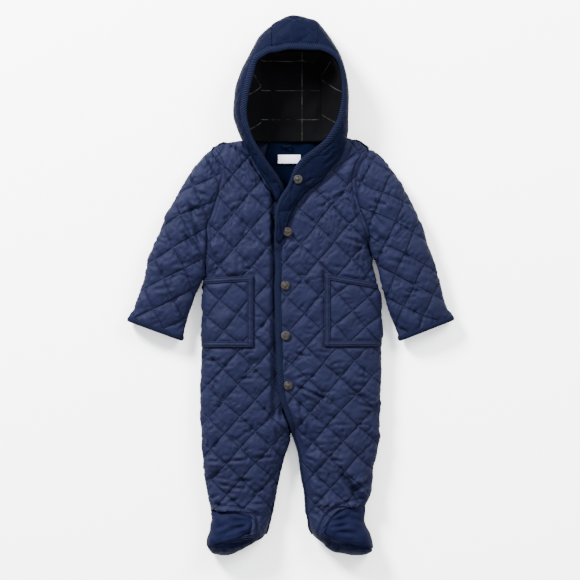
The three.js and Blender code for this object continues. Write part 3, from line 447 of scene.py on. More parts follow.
def wrinkled(u, v, seed):
    """Height of the small folds that lie across the cloth: short narrow troughs, and soft waves."""
    net = crumple(0.8 * u, 1.5 * v, seed + 4, 30)
    shown = smooth(crumple(u, v, seed + 5, 42), -0.1, 0.9)
    finer = crumple(1.3 * u, v, seed + 7, 19)
    folds = -FOLDS[0] * bell(net, 0, 0.19) * shown
    folds -= FOLDS[1] * bell(finer, 0, 0.22) * smooth(crumple(u, v, seed + 8, 50), 0.1, 0.9)
    return folds + WAVES[0] * crumple(u, v, seed + 2, 34) + WAVES[1] * crumple(u, v, seed + 3, 12)


CREASES = table("x y toX toY deep wide", [
    # chest and waist of the right front
    [-95, 106, -92, 72, 1.6, 3.0],
    [-73, 112, -67, 84, 1.8, 3.0],
    [-88, 86, -84, 52, 1.2, 3.0],
    [-121, 100, -114, 66, 2.2, 3.6],
    [-127, 70, -116, 40, 1.6, 4.0],
    [-27, 108, -20, 82, 1.8, 2.6],
    [-31, 92, -24, 66, 1.5, 2.8],
    [-79, 42, -76, 18, 1.6, 3.0],
    [-70, 26, -47, 24, 1.5, 2.2],
    [-60, 30, -44, 28, 1.0, 2.2],
    [-99, 168, -86, 140, 1.2, 3.4],
    # chest and waist of the left front
    [66, 132, 84, 138, 2.0, 2.6],
    [84, 138, 98, 132, 1.6, 2.6],
    [97, 112, 107, 94, 2.2, 3.0],
    [83, 70, 109, 62, 1.6, 2.6],
    [96, 50, 116, 56, 1.4, 2.6],
    [42, 36, 54, 24, 1.6, 2.4],
    [62, 30, 80, 26, 1.2, 2.4],
    [8, 108, 34, 96, 1.4, 2.4],
    [0, 62, 18, 52, 1.2, 2.4],
    [112, 78, 120, 44, 2.2, 4.0],
    # the left front round the lowest snap, and down to its crotch
    [5, -150, 30, -158, 2.2, 2.6],
    [30, -158, 52, -170, 2.2, 2.6],
    [50, -171, 63, -181, 1.8, 2.4],
    [22, -157, 40, -163, 1.4, 2.0],
    [8, -140, 26, -133, 1.6, 2.4],
    [26, -133, 40, -138, 1.4, 2.2],
    [-6, -128, -4, -112, 1.4, 2.4],
    [6, -100, 24, -106, 1.4, 2.4],
    [40, -98, 60, -100, 1.4, 2.2],
    [62, -118, 78, -114, 1.2, 2.2],
    [14, -170, 18, -192, 2.2, 3.0],
    [18, -192, 17, -212, 2.4, 3.0],
    [24, -200, 28, -222, 2.0, 3.0],
    [28, -222, 36, -236, 1.4, 3.0],
    [66, -207, 84, -209, 1.6, 2.4],
    [96, -160, 118, -172, 1.8, 3.4],
    [104, -178, 124, -182, 1.6, 2.8],
    [98, -134, 120, -140, 1.4, 2.6],
    # the left leg, with the deep fold above its ankle
    [24, -257, 40, -263, 1.8, 2.4],
    [60, -260, 78, -263, 1.8, 2.4],
    [40, -288, 52, -298, 1.4, 2.6],
    [74, -278, 88, -296, 4.6, 4.4],
    [85, -291, 102, -315, 7.6, 5.6],
    [98, -308, 110, -332, 6.4, 5.4],
    [94, -303, 117, -295, 3.0, 4.0],
    [34, -310, 52, -322, 1.6, 3.0],
    [28, -336, 44, -346, 1.6, 3.0],
    [52, -338, 64, -322, 1.4, 2.6],
    # the right front below its pocket, and its leg
    [-127, -112, -104, -112, 1.8, 2.4],
    [-95, -119, -86, -121, 1.2, 2.2],
    [-76, -139, -58, -138, 1.8, 2.4],
    [-56, -131, -46, -126, 1.4, 2.4],
    [-34, -110, -26, -118, 1.6, 2.4],
    [-64, -167, -52, -172, 1.0, 2.2],
    [-76, -205, -60, -202, 1.4, 2.2],
    [-30, -196, -22, -184, 1.4, 2.6],
    [-14, -176, -12, -206, 2.2, 3.2],
    [-22, -212, -18, -232, 1.8, 3.0],
    [-124, -262, -102, -263, 1.8, 2.4],
    [-91, -262, -66, -260, 1.8, 2.4],
    [-55, -257, -28, -256, 1.8, 2.4],
    [-78, -290, -58, -291, 1.8, 2.4],
    [-106, -296, -88, -300, 1.8, 2.4],
    [-86, -303, -66, -302, 1.4, 2.2],
    [-120, -318, -102, -312, 1.6, 2.6],
    [-62, -327, -40, -326, 1.8, 2.4],
    [-112, -324, -98, -332, 1.8, 2.6],
    [-96, -326, -78, -318, 1.4, 2.4],
    # the right sleeve at the armpit and elbow, then the left one
    [-152, 124, -141, 100, 3.4, 3.8],
    [-158, 78, -144, 52, 3.0, 3.6],
    [-144, 92, -133, 64, 3.6, 3.8],
    [-148, 112, -128, 116, 1.8, 3.0],
    [-140, 140, -122, 132, 1.4, 3.0],
    [-176, 30, -146, 36, 1.4, 3.0],
    [-206, -8, -176, -2, 1.2, 3.0],
    [120, 128, 142, 120, 1.8, 3.0],
    [122, 108, 138, 88, 2.4, 3.4],
    [126, 80, 144, 62, 2.4, 3.4],
    [140, 134, 158, 118, 1.6, 3.0],
    [146, 40, 176, 30, 1.4, 3.0],
    [176, -6, 206, -14, 1.2, 3.0],
    # the strip of the hood down the right front, puckered by its seam
    [-66, 196, -52, 182, 3.4, 2.2],
    [-58, 184, -46, 168, 3.4, 2.2],
    [-50, 172, -37, 156, 3.4, 2.2],
    [-43, 160, -30, 144, 3.4, 2.2],
    [-36, 148, -23, 133, 3.4, 2.2],
    [-29, 138, -17, 122, 1.6, 2.0],
    [-62, 206, -56, 190, 1.4, 2.0],
    [-44, 176, -34, 160, 1.2, 1.8],
    # under the left side of the hood and its neck
    [70, 196, 52, 180, 1.6, 2.6],
    [62, 214, 46, 200, 1.4, 2.6],
    [34, 160, 18, 150, 1.4, 2.4],
    [12, 128, 0, 112, 1.4, 2.4],
    # the uppers of the feet, fanning from the inner ankle
    [-66, -352, -88, -350, 1.8, 2.6],
    [-64, -358, -82, -362, 1.8, 2.6],
    [-70, -378, -104, -386, 1.6, 2.4],
    [-92, -356, -112, -364, 1.2, 3.0],
    [64, -352, 86, -346, 2.4, 2.6],
    [62, -360, 84, -358, 2.0, 2.6],
    [70, -366, 98, -370, 1.8, 3.0],
    [86, -344, 104, -352, 1.8, 2.8],
    [76, -384, 112, -388, 1.4, 2.4],
])


def from_segment(points, k, rows):
    """Plan distance from one segment of a table, and the share of the way along it."""
    start = np.array([rows["x"][k], rows["y"][k]])
    way = np.array([rows["toX"][k], rows["toY"][k]]) - start
    off = points[..., :2] - start
    share = np.clip(off @ way / (way @ way), 0, 1)
    return np.linalg.norm(off - share[..., None] * way, axis=-1), share


def creased(points, normal):
    """The listed creases at each point: a soft trough with a low ridge beside it."""
    height = np.zeros(points.shape[:2])
    for k in range(len(CREASES["x"])):
        off, share = from_segment(points, k, CREASES)
        deep, wide = CREASES["deep"][k], CREASES["wide"][k]
        trough = CREASE_DEPTH * deep * bell(off, 0, 0.85 * wide)
        ridge = CREASE_RIDGE[0] * min(deep, CREASE_RIDGE[1]) * bell(off, 2 * wide, wide)
        height -= (trough - ridge) * (0.25 + 0.75 * np.sin(np.pi * share))
    return height * smooth(normal[..., 2], 0.15, 0.6)


def puffed(points, u, v, normal, grain, seed, shown=1, dip=SEAM_DIP):
    """Points of quilted cloth moved out by its diamonds, waves and creases, and let down at its seams."""
    ends = np.minimum(v - v[0, 0], v[-1, 0] - v)
    beside = smooth(np.minimum(from_edge(u), ends), -0.6, dip)
    outside = smooth(normal[..., 2], -0.45, 0.6)
    relief = (quilted(u, v, grain, seed) + wrinkled(u, v, seed)) * shown
    relief += creased(points, normal) * np.maximum(shown, 0.75)
    return points + normal * (relief * beside * outside)[..., None]


def backing(points, outer, normal):
    """The inside of padded cloth: level under the diamonds, and pushed in where a crease is."""
    sunk = np.minimum(np.sum((outer - points) * normal, axis=2, keepdims=True), 0)
    return points + normal * (sunk - WALL)


def mesh_of(name, vertices, faces, material):
    """A smoothly shaded mesh from places in garment millimetres, as an object of the scene."""
    mesh = bpy.data.meshes.new(name)
    mesh.from_pydata(((np.asarray(vertices) + shift) * MM).tolist(), [], faces)
    mesh.polygons.foreach_set("use_smooth", np.ones(len(mesh.polygons), bool))
    mesh.materials.append(material)
    made = bpy.data.objects.new(name, mesh)
    bpy.context.scene.collection.objects.link(made)
    return made


def cloth_mesh(name, parts, material):
    """One closed thin shell of cloth for each (outer, inner, chart, inward) part, as one object."""
    vertices, faces, chart = [], [], []
    for outer, inner, uv, inward in parts:
        first = sum(len(v) for v in vertices)
        rows, columns = outer.shape[:2]
        index = first + np.arange(rows * columns).reshape(rows, columns)
        quads = np.stack([index[:-1, :-1], index[:-1, 1:], index[1:, 1:], index[1:, :-1]], -1).reshape(-1, 4)
        lining = quads[:, ::-1] + rows * columns
        rim = np.concatenate([index[0], index[1:, -1], index[-1, -2::-1], index[-2:0:-1, 0]])
        rim_below = rim + rows * columns
        band = np.stack([rim, rim_below, np.roll(rim_below, -1), np.roll(rim, -1)], -1)
        part = np.concatenate([quads, lining, band])
        faces.append(part[:, ::-1] if inward else part)
        vertices += [outer.reshape(-1, 3), inner.reshape(-1, 3)]
        chart += [uv.reshape(-1, 2)] * 2
    piece = mesh_of(name, np.concatenate(vertices), np.concatenate(faces).tolist(), material)
    layer = piece.data.uv_layers.new(name="cloth")
    corner = np.zeros(len(piece.data.loops), np.int32)
    piece.data.loops.foreach_get("vertex_index", corner)
    layer.data.foreach_set("uv", (np.concatenate(chart)[corner] * MM).astype(np.float32).ravel())
    piece.data.update()
    return piece


def cut_of(points):
    """Width, length and area in metres of the flat cloth that a grid of points was laid from."""
    across = np.linalg.norm(np.diff(points, axis=1), axis=2).sum(1).max() * MM
    length = np.linalg.norm(np.diff(points, axis=0), axis=2).sum(0).max() * MM
    one = np.cross(points[:-1, 1:] - points[:-1, :-1], points[1:, :-1] - points[:-1, :-1])
    two = np.cross(points[:-1, 1:] - points[1:, 1:], points[1:, :-1] - points[1:, 1:])
    area = (np.linalg.norm(one, axis=2).sum() + np.linalg.norm(two, axis=2).sum()) / 2 * MM * MM
    return (across, length), max(min(area, across * length), 0.3 * across * length)


def fasten(piece, nodes, cut):
    """Puts a piece of cloth under the root and hides the parts that it stands for; the cut that it was laid
    from is not used.
    """
    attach(piece, "root")
    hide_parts(*nodes)


def padded(name, points, outer, normal, chart, inward, material, stands_for):
    """One piece of padded cloth, from its level form and its outer face."""
    piece = cloth_mesh(name, [(outer, backing(points, outer, normal), chart, inward)], material)
    fasten(piece, [stands_for], cut_of(points))


def math_node(material, operation, *values):
    """A Math node on values or other nodes' outputs."""
    return node(material, "Math", dict(enumerate(values)), operation=operation).outputs[0]


def mixed(material, factor, a, b):
    """A colour between two others."""
    inputs = {"Factor": factor, "A": a, "B": b}
    return node(material, "Mix", inputs, data_type="RGBA").outputs["Result"]


def bumped(material, height, strength, distance, below=None, invert=False):
    """A bump of some height in millimetres, on top of another one."""
    inputs = {"Height": height, "Strength": strength, "Distance": distance * MM}
    if below:
        inputs["Normal"] = below
    return node(material, "Bump", inputs, invert=invert).outputs[0]


def charted(material):
    """The chart of the cloth, with its lengths across and along as X and Y."""
    chart = node(material, "UVMap", uv_map="cloth")
    return node(material, "SeparateXYZ", {0: chart.outputs[0]}).outputs


def noise(material, scale, detail, rough=0.5, bent=0.0, **settings):
    """Cloudy noise through the object, from 0 to 1."""
    place = node(material, "TexCoord").outputs["Object"]
    inputs = {"Vector": place, "Scale": scale, "Detail": detail, "Roughness": rough, "Distortion": bent}
    return node(material, "TexNoise", inputs, **settings).outputs["Fac"]


WEAVE = 1.1  # real threads lie 0.2 mm apart: drawn as coarse as a close view can show
THREAD_SHOWN = 0.4  # half the width of a drawn thread
GROOVE = 2.0  # how far to each side a stitched line draws the cloth in


def taffeta_of(name, light, dark, lines, sheen):
    """Polyester taffeta: a close plain weave with a dull sheen that crumples finely. On the quilted cloth
    the chart holds lengths along both families of stitched lines, and lines is how far they show: each
    line is sunk by a bump, with painted shade in its groove and the thread's colour on its stitches."""
    material, shader = new_material(name)
    split = charted(material)
    cloudy = noise(material, 26.0, 3.0)
    colour = mixed(material, cloudy, linear(dark), linear(light))
    threads = [math_node(material, "MULTIPLY", split[axis], 2 * np.pi / (WEAVE * MM)) for axis in "XY"]
    threads = [math_node(material, "SINE", thread) for thread in threads]
    normal = bumped(material, math_node(material, "MULTIPLY", *threads), 0.25, 0.05)
    fine = noise(material, 150.0, 5.0, 0.62, 0.7)
    normal = bumped(material, fine, 0.6, 1.2, normal)
    folds = noise(material, 46.0, 2.0, 0.5, 1.2, noise_type="RIDGED_MULTIFRACTAL", normalize=True)
    normal = bumped(material, folds, 0.5, 2.2, normal)
    if lines:
        grooves, stitches = [], []
        for near, run in (("X", "Y"), ("Y", "X")):
            off = math_node(material, "PINGPONG", split[near], DIAMOND / 2 * MM)
            step = math_node(material, "PINGPONG", split[run], STITCH / 2 * MM)
            on_thread = math_node(material, "LESS_THAN", off, THREAD_SHOWN * MM)
            in_stitch = math_node(material, "LESS_THAN", step, 0.36 * STITCH * MM)
            fall = {"Value": off, "From Max": GROOVE * MM, "To Min": 1.0, "To Max": 0.0}
            sunk = node(material, "MapRange", fall, interpolation_type="SMOOTHSTEP")
            grooves.append(sunk.outputs[0])
            stitches.append(math_node(material, "MULTIPLY", on_thread, in_stitch))
        groove = math_node(material, "MAXIMUM", *grooves)
        thread = math_node(material, "MAXIMUM", *stitches)
        # the groove is coloured with painted shade, the stitches with the thread's own colour
        for mask, share, tint in ((groove, 0.8, GROOVE_PAINTED_SHADE), (thread, 0.7, THREAD)):
            shown = math_node(material, "MULTIPLY", mask, share * lines)
            colour = mixed(material, shown, colour, linear(tint))
        normal = bumped(material, groove, 0.9 * lines, 1.1, normal, True)
        normal = bumped(material, thread, 0.6, 0.3, normal)
    gloss = node(material, "MapRange", {"Value": fine, "To Min": 0.5, "To Max": 0.66})
    feed(material, shader, {
        "Base Color": colour,
        "Roughness": gloss.outputs[0],
        "Normal": normal,
        "Specular IOR Level": sheen,
    })
    return material


taffeta = taffeta_of("polyester_taffeta_navy_quilted", "#0e1023", "#0a0c1a", 1.0, 0.03)
# The hood's taffeta has fainter lines and less sheen, and its colour is painted darker than the quilted
# cloth's: painted shade over the hood.
smooth_taffeta_painted_shade = taffeta_of("polyester_taffeta_navy_smooth_painted_shade", "#050716", "#030510", 0.35, 0.01)

SNAPS = [(12, 158), (-3.7, 80), (-7, 0), (-6.6, -74.7), (-2.7, -149)]
SNAP_RADIUS = 6.7
POCKETS = {
    "right": {"inner": -55, "outer": -122, "low": -92, "inner_top": 15, "outer_top": 10},
    "left": {"inner": 51.5, "outer": 126, "low": -91, "inner_top": 18, "outer_top": 2},
}
# The seams of each foot in plan: of the upper with the leg, and of the upper with the sole.
FOOT_SEAMS = {
    "right": {
        "instep": [[-374, -60], [-358, -57], [-348, -58], [-343, -66], [-339, -90], [-336, -119]],
        "sole": [[-391, -124], [-386, -110], [-379, -86], [-371, -66], [-366, -58]],
    },
    "left": {
        "instep": [[-374, 50], [-362, 54], [-350, 60], [-338, 72], [-331, 90], [-327, 112]],
        "sole": [[-394, 124], [-390, 110], [-386, 84], [-378, 66], [-368, 50]],
    },
}
FEET = {
    side: {seam: table("at x", rows) for seam, rows in seams.items()} for side, seams in FOOT_SEAMS.items()
}
HEEL = -372
HEEL_FRONT = -386
NECK_GAP = 0.5  # from the last ring of the body to the neck seam
FRONT_ROWS = 262  # rings in the length of a front, and below of the back and of a sleeve
BACK_ROWS = 146
SLEEVE_ROWS = 121
FAR = 99  # beyond the reach of any seam
SEAM_ROWS = (2.2, 8.6)  # of stitching beside an armhole, in from its seam
SEWN_DIP = 0.9
ROLLS = [(3.4, 3.5, 3.0), (-1.5, 9.5, 2.0), (1.3, 13.5, 2.4)]  # height, place and width beside the instep


def pocket_top(pocket, x):
    """Height up the body of a pocket's slanting top edge."""
    share = np.clip((x - pocket["inner"]) / (pocket["outer"] - pocket["inner"]), 0, 1)
    return pocket["inner_top"] + share * (pocket["outer_top"] - pocket["inner_top"])


def front_shown(side, points, v):
    """Share of its quilting that a front keeps: little under a pocket, a binding, a snap or the lap."""
    pocket, (x, y) = POCKETS[side], (points[..., 0], points[..., 1])
    beyond = np.abs(x) - abs(pocket["inner"])
    inside = np.minimum(np.minimum(beyond, pocket_top(pocket, x) - y), y - pocket["low"])
    off_snap = np.min([np.hypot(x - snap_x, y - snap_y) for snap_x, snap_y in SNAPS], axis=0)
    share = (1 - smooth(inside, -6, -1)) * smooth(off_snap, SNAP_RADIUS + 1, SNAP_RADIUS + 9)
    share = share * (0.25 + 0.75 * smooth(y, -356, -338))
    if side == "left":
        edge = along(HALVES[side]["rows"], v, "edge")
        return share * smooth(x - edge, BINDING_WIDTH - 1, BINDING_WIDTH + 4)
    lap = smooth(x, LAP["from"], LAP["to"]) * smooth(y, LAP["crotch"], LAP["ends"])
    return share * (1 - lap)


def climbed(v):
    """How far up to its seam with the upper the sole's inner edge has come, in front of the heel."""
    return 1 - np.clip((v - HEEL_FRONT) / (HEEL - HEEL_FRONT), 0, 1)


def rolled(points, instep):
    """Height of the padded roll of the leg beside its seam with the foot's upper, and the dip behind it."""
    ends = np.column_stack([instep["x"], instep["at"]])
    seam = table("x y toX toY", np.column_stack([ends[:-1], ends[1:]]))
    off = np.min([from_segment(points, k, seam)[0] for k in range(len(seam["x"]))], axis=0)
    return sum(high * bell(off, at, wide) for high, at, wide in ROLLS)


fronts = {}
for seed, (side, half) in enumerate(HALVES.items()):
    foot = FEET[side]

    def leg_start(here, v, foot=foot):
        if v > HEEL:
            return here.start
        return here.start + (here.where(along(foot["sole"], v, "x")) - here.start) * climbed(v)

    def leg_end(here, v, foot=foot, half=half):
        if v > half["leg_end"]:
            return here.end
        seam = here.where(along(foot["sole"] if v < HEEL else foot["instep"], v, "x"))
        return max(seam, leg_start(here, v) + 2)

    inward = side == "right"
    stations = np.linspace(HEEL_FRONT, half["shoulder"][-1][1] - NECK_GAP, FRONT_ROWS)
    points, u, v = laid(front_ring(half, int(inward)), stations, leg_start, leg_end)
    normal = facing(points, inward)
    shown = front_shown(side, points, v)
    off_armhole = np.where(v > half["armpit"], u[:, -1:] - u, FAR)
    # the quilting runs out beside the armhole, and towards the foot's upper
    by_upper = (1 - smooth(v - half["leg_end"], 2, 26)) * smooth(u - u[:, -1:], -34, -12)
    shown = shown * smooth(off_armhole, SEAM_ROWS[1] - 1.5, SEAM_ROWS[1] + 2) * (1 - by_upper)
    outer = puffed(points, u, v, normal, half["grain"], 10 * seed, shown)
    pressed = sum(bell(off_armhole, off, 1.6) for off in SEAM_ROWS)
    moved = rolled(points, foot["instep"]) * smooth(normal[..., 2], 0.45, 0.9) - SEWN_DIP * pressed
    outer = outer + normal * moved[..., None]
    chart_mm = stitch_axes(u, v, *half["grain"])
    padded(f"front_cloth_{side}", points, outer, normal, chart_mm, inward, taffeta, f"front_{side}")
    fronts[side] = {"points": points, "outer": outer, "normal": normal, "u": u, "v": v}


# The back with both legs, of the same quilted cloth. It lies flat on the surface, so its own quilting
# is pressed out there, and curls up at both sides to the side seams and armholes.
BACK_END = -358
back_parts = []
back_cut = []
for side, half in HALVES.items():
    def back_ring(y, half=half):
        return referred(body_section(half, y)[1][::-1], half)

    stations = np.linspace(BACK_END, half["shoulder"][-1][1] - NECK_GAP, BACK_ROWS)
    points, u, v = laid(back_ring, stations, pitch=4)
    normal = facing(points, side == "left")
    chart_mm = stitch_axes(u, v, *half["grain"])
    back_parts.append((points, points - WALL * normal, chart_mm, side == "left"))
    back_cut.append(cut_of(points))
piece = cloth_mesh("back_cloth", back_parts, taffeta)
(width_a, length_a), area_a = back_cut[0]
(width_b, length_b), area_b = back_cut[1]
back_flat = (width_a + width_b, max(length_a, length_b))
fasten(piece, ["back"], (back_flat, area_a + area_b))


# The sleeves, cut with the same quilting turned to their own length, closed below with an inseam and
# set into the armholes, so that the body's edge lies over theirs.
SLEEVE = "at outer inner high low"
CUFF_LIFT = 3.4
SLEEVE_END = 284
TUCK = -1.5  # the sleeve's edge runs this far in under the body's
SLEEVES = {
    "right": {
        "cuff": np.array([-202.5, -67.5]),
        "way": np.array([0.341, 0.94]),
        "out": np.array([-0.94, 0.341]),
        "grain": (0, 12, 30),
        "rows": table(SLEEVE, [
            [0, 42.5, -42.5, 27, CUFF_LIFT],
            [9, 42.3, -42, 28, CUFF_LIFT],
            [20, 40.2, -41.2, 30, 1],
            [44, 39.8, -39.5, 32, 0],
            [69, 40.9, -39.2, 33, 0],
            [100.5, 44.9, -41.7, 35, 0],
            [145, 42.9, -41.7, 36, 0],
            [171, 41.2, -41.7, 36, 0],
            [198, 38.1, -41.7, 36, 0],
            [225, 32.2, -41.7, 35, 0],
            [253, 26.3, -41.7, 33, 0],
            [268, 20.5, -41.7, 30, 0],
            [276, 16.8, -41.7, 26, 2],
            [284, 12.6, -41.7, 20, 8],
        ]),
    },
    "left": {
        "cuff": np.array([204.8, -66.8]),
        "way": np.array([-0.364, 0.931]),
        "out": np.array([0.931, 0.364]),
        "grain": (0, 4, 22),
        "rows": table(SLEEVE, [
            [0, 42.5, -42.5, 27, CUFF_LIFT],
            [9, 42.8, -42.6, 28, CUFF_LIFT],
            [17, 40, -42.8, 30, 1],
            [42, 41.3, -42.5, 32, 0],
            [66, 44.5, -41, 33, 0],
            [91, 46.2, -37.5, 35, 0],
            [116, 48, -34.6, 36, 0],
            [139, 48.3, -34.9, 36, 0],
            [171, 48.7, -34.9, 36, 0],
            [194, 46.2, -34.9, 36, 0],
            [222, 42.4, -34.9, 35, 0],
            [250, 35.8, -34.9, 33, 0],
            [265, 30.4, -34.9, 30, 0],
            [276, 24.8, -34.9, 26, 2],
            [284, 17.3, -34.9, 20, 8],
        ]),
    },
}


def armhole_of(half, sleeve):
    """The armhole seam as the sleeve sees it: places along and across it, and its two heights."""
    rows = []
    for y in np.linspace(half["armpit"], half["shoulder"][0][1], 51):
        seam = np.array([along(half["rows"], y, "outer"), y])
        share = float(shoulder_share(seam[0], y, half["shoulder"]))
        local = seam - sleeve["cuff"]
        opened = [armhole_height(y - half["armpit"], on_front) for on_front in (True, False)]
        heights = [SEAM_HEIGHT + (height - SEAM_HEIGHT) * share for height in opened]
        rows.append([local @ sleeve["way"], local @ sleeve["out"], *heights])
    return table("at across top low", sorted(rows))


def sleeve_ring(half, sleeve):
    """Rings round a sleeve, from its inseam over the top, round the outer fold and back under it."""
    armhole = armhole_of(half, sleeve)

    def ring(v):
        at = float(np.clip(v, 0, SLEEVE_END))
        outer, high, low = (along(sleeve["rows"], at, name) for name in ("outer", "high", "low"))
        inner, inner_top, inner_low = along(sleeve["rows"], at, "inner"), SEAM_HEIGHT, SEAM_HEIGHT
        if at > armhole["at"][0]:
            inner = along(armhole, at, "across") + TUCK
            inner_top, inner_low = along(armhole, at, "top") - 1.2, along(armhole, at, "low") + 1.2
        crown = (outer + inner) / 2
        reach = min(CURL, (outer - inner) * 0.45)
        top = quarter(inner, inner_top, crown, high)
        section = np.vstack([
            top,
            quarter(outer, SEAM_HEIGHT, crown, high, True)[1:],
            quarter(outer, SEAM_HEIGHT, outer - reach, low)[1:],
            quarter(inner, inner_low, inner + reach, low, True),
        ])
        plan = sleeve["cuff"] + sleeve["way"] * v + sleeve["out"] * section[:, :1]
        return Ring(np.column_stack([plan, section[:, 1]]), Ring(np.column_stack([top, top[:, :1] * 0])).end)
    return ring


for seed, (side, sleeve) in enumerate(SLEEVES.items()):
    stations = np.linspace(0, SLEEVE_END, SLEEVE_ROWS)
    inward = side == "right"
    points, u, v = laid(sleeve_ring(HALVES[side], sleeve), stations)
    normal = facing(points, inward)
    outer = puffed(points, u, v, normal, sleeve["grain"], 40 + 10 * seed)
    chart_mm = stitch_axes(u, v, *sleeve["grain"])
    padded(f"sleeve_cloth_{side}", points, outer, normal, chart_mm, inward, taffeta, f"sleeve_{side}")


# The hood: a centre panel from the forehead to the nape and a side panel on either side, whose lower
# ends run down the neck as the edges of the V. All three are quilted, and curl under the head.
HOOD = "rimX rimY rimZ endX endY endZ underX underY"
HOOD_RIGHT = [
    [-9.5, 147, 33, -13, 109, 30, -13, 109],
    [-17, 161, 40, -21, 128, 34, -21, 128],
    [-30, 179, 48, -34.5, 152, 34, -34.5, 152],
    [-43.5, 199, 54, -48, 176, 33, -48, 176],
    [-55.5, 220, 57, -61.5, 199, 32, -61.5, 199],
    [-61.5, 238, 58, -72, 217.5, 31, -72, 217.5],
    [-64, 248, 58.5, -79, 234, 22, -54, 223],
    [-65, 262, 59, -85, 257, 24, -29, 240],
    [-61.5, 286, 60, -82.5, 290, 24, -29, 270],
    [-55.5, 311, 61, -73.5, 320, 24, -29, 298],
    [-49.5, 332, 62, -60, 346, 24, -29, 324],
    [-39, 341, 63, -46.5, 371, 25, -29, 346],
    [-26.5, 346.3, 63.5, -28, 388, 26, -28.5, 366],
]
HOOD_CENTRE = [
    [-26.3, 346.3, 63.5, -27.8, 388.3, 26, -26, 222],
    [3, 351, 64, 4.5, 403.5, 26, 7, 224],
    [39.4, 350, 63.5, 41.6, 394, 26, 40, 224],
]
HOOD_LEFT = [
    [39.6, 350, 63.5, 41.8, 393.9, 26, 43.5, 370],
    [60, 343.5, 62, 61.5, 368, 25, 43, 348],
    [73, 328, 61, 76.5, 341, 24, 43, 322],
    [77.5, 305, 60, 85, 311, 24, 43, 296],
    [78, 284, 59, 88, 281, 24, 43, 268],
    [73.5, 256, 58, 87, 248, 24, 43, 240],
    [69, 243, 57, 87, 235, 22, 64, 227],
    [64.5, 235, 56, 85.5, 221.5, 31, 85.5, 221.5],
    [52.5, 217, 53, 80, 204, 31, 80, 204],
    [34.5, 202, 50, 67, 180, 33, 67, 180],
    [16.5, 188, 48, 45, 155, 34, 45, 155],
    [6.5, 173, 47, 24, 139, 35, 24, 139],
    [-3, 149, 45.5, 7.5, 118, 36, 7.5, 118],
    [-16, 128, 44, -2, 95, 36.5, -2, 95],
    [-21.5, 108, 43.5, -7.5, 77, 37, -7.5, 77],
    [-22.3, 88, 43, -13, 66, 37, -13, 66],
    [-22.3, 74, 42, -18.5, 62.5, 37, -18.5, 62.5],
]
RIM = 9
HOOD_CURL = 18
HOOD_QUILTING = 0.2  # share of its relief that shows where the hood is stretched, and what the neck adds
NECK_QUILTING = 0.5


def spaced(rows):
    """Gives each row its place along the hood, half way between the rim and the end."""
    places = run_along([[(r[0] + r[3]) / 2, (r[1] + r[4]) / 2] for r in rows])
    return table("at " + HOOD, np.column_stack([places, rows]))


def hood_ring(rows, half, neck_first):
    """Rings across the hood, from the rim of its opening out to the neck seam or on under it."""
    corner = None
    if half:
        corner = rows["at"][list(rows["endY"]).index(half["shoulder"][-1][1])]

    def on_neck(at):
        if half is None:
            return False
        return at <= corner if neck_first else at >= corner

    def ring(v):
        at = float(np.clip(v, 0, rows["at"][-1]))
        here = np.array([along(rows, at, name) for name in HOOD.split()])
        rim, rim_z, end, end_z, under = here[:2], here[2], here[3:5], here[5], here[6:]
        if half:
            near_corner = np.linalg.norm(end - half["shoulder"][-1]) < SHOULDER_ROUND
            if on_neck(at) or near_corner:
                share = float(shoulder_share(*end, half["shoulder"]))
                end_z = SEAM_HEIGHT + (end_z - SEAM_HEIGHT) * share
        top = quarter(1, end_z, 0, rim_z, True)
        points = np.column_stack([rim + (end - rim) * top[:, :1], top[:, 1]])
        run = 0 if on_neck(at) else np.linalg.norm(end - under)
        if run > 0.5:
            below = quarter(0, end_z, min(HOOD_CURL, run * 0.8), 0)
            curl = np.column_stack([end + (under - end) * below[:, :1] / run, below[:, 1]])
            points = np.vstack([points, curl[1:], [[under[0], under[1], 0]]])
        return Ring(points)
    return ring


HOOD_PARTS = {
    "side_right": (spaced(HOOD_RIGHT), HALVES["right"], True, (4, 20, 34)),
    "centre": (spaced(HOOD_CENTRE), None, False, (0, 24, 9)),
    "side_left": (spaced(HOOD_LEFT), HALVES["left"], False, (-4, 14, 52)),
}
hood = {}
for seed, (part, (rows, half, neck_first, part_grain)) in enumerate(HOOD_PARTS.items()):
    length = rows["at"][-1]
    stations = np.linspace(0, length, max(int(length / PITCH), 24))
    points, u, v = laid(hood_ring(rows, half, neck_first), stations, lambda here, v: 2)
    normal = facing(points, True)
    up_the_neck = v if neck_first else length - v
    kept = smooth(u, 4, RIM + 4) * (HOOD_QUILTING + NECK_QUILTING * smooth(up_the_neck, 150, 40))
    outer = puffed(points, u, v, normal, part_grain, 70 + 10 * seed, kept, 4)
    off = np.minimum(v + FAR * (part == "side_right"), length - v + FAR * (part == "side_left"))
    pressed = 1.6 * bell(off, 0, 1.7) + SEWN_DIP * (part == "centre") * bell(off, 5.6, 1.3)
    outer = outer - normal * (pressed * smooth(u, RIM - 2, RIM + 2))[..., None]
    chart_mm = stitch_axes(u, v, *part_grain)
    padded(f"hood_cloth_{part}", points, outer, normal, chart_mm, True, smooth_taffeta_painted_shade, f"hood_{part}")
    hood[part] = {"outer": outer, "normal": normal, "u": u, "v": v, "rows": rows}


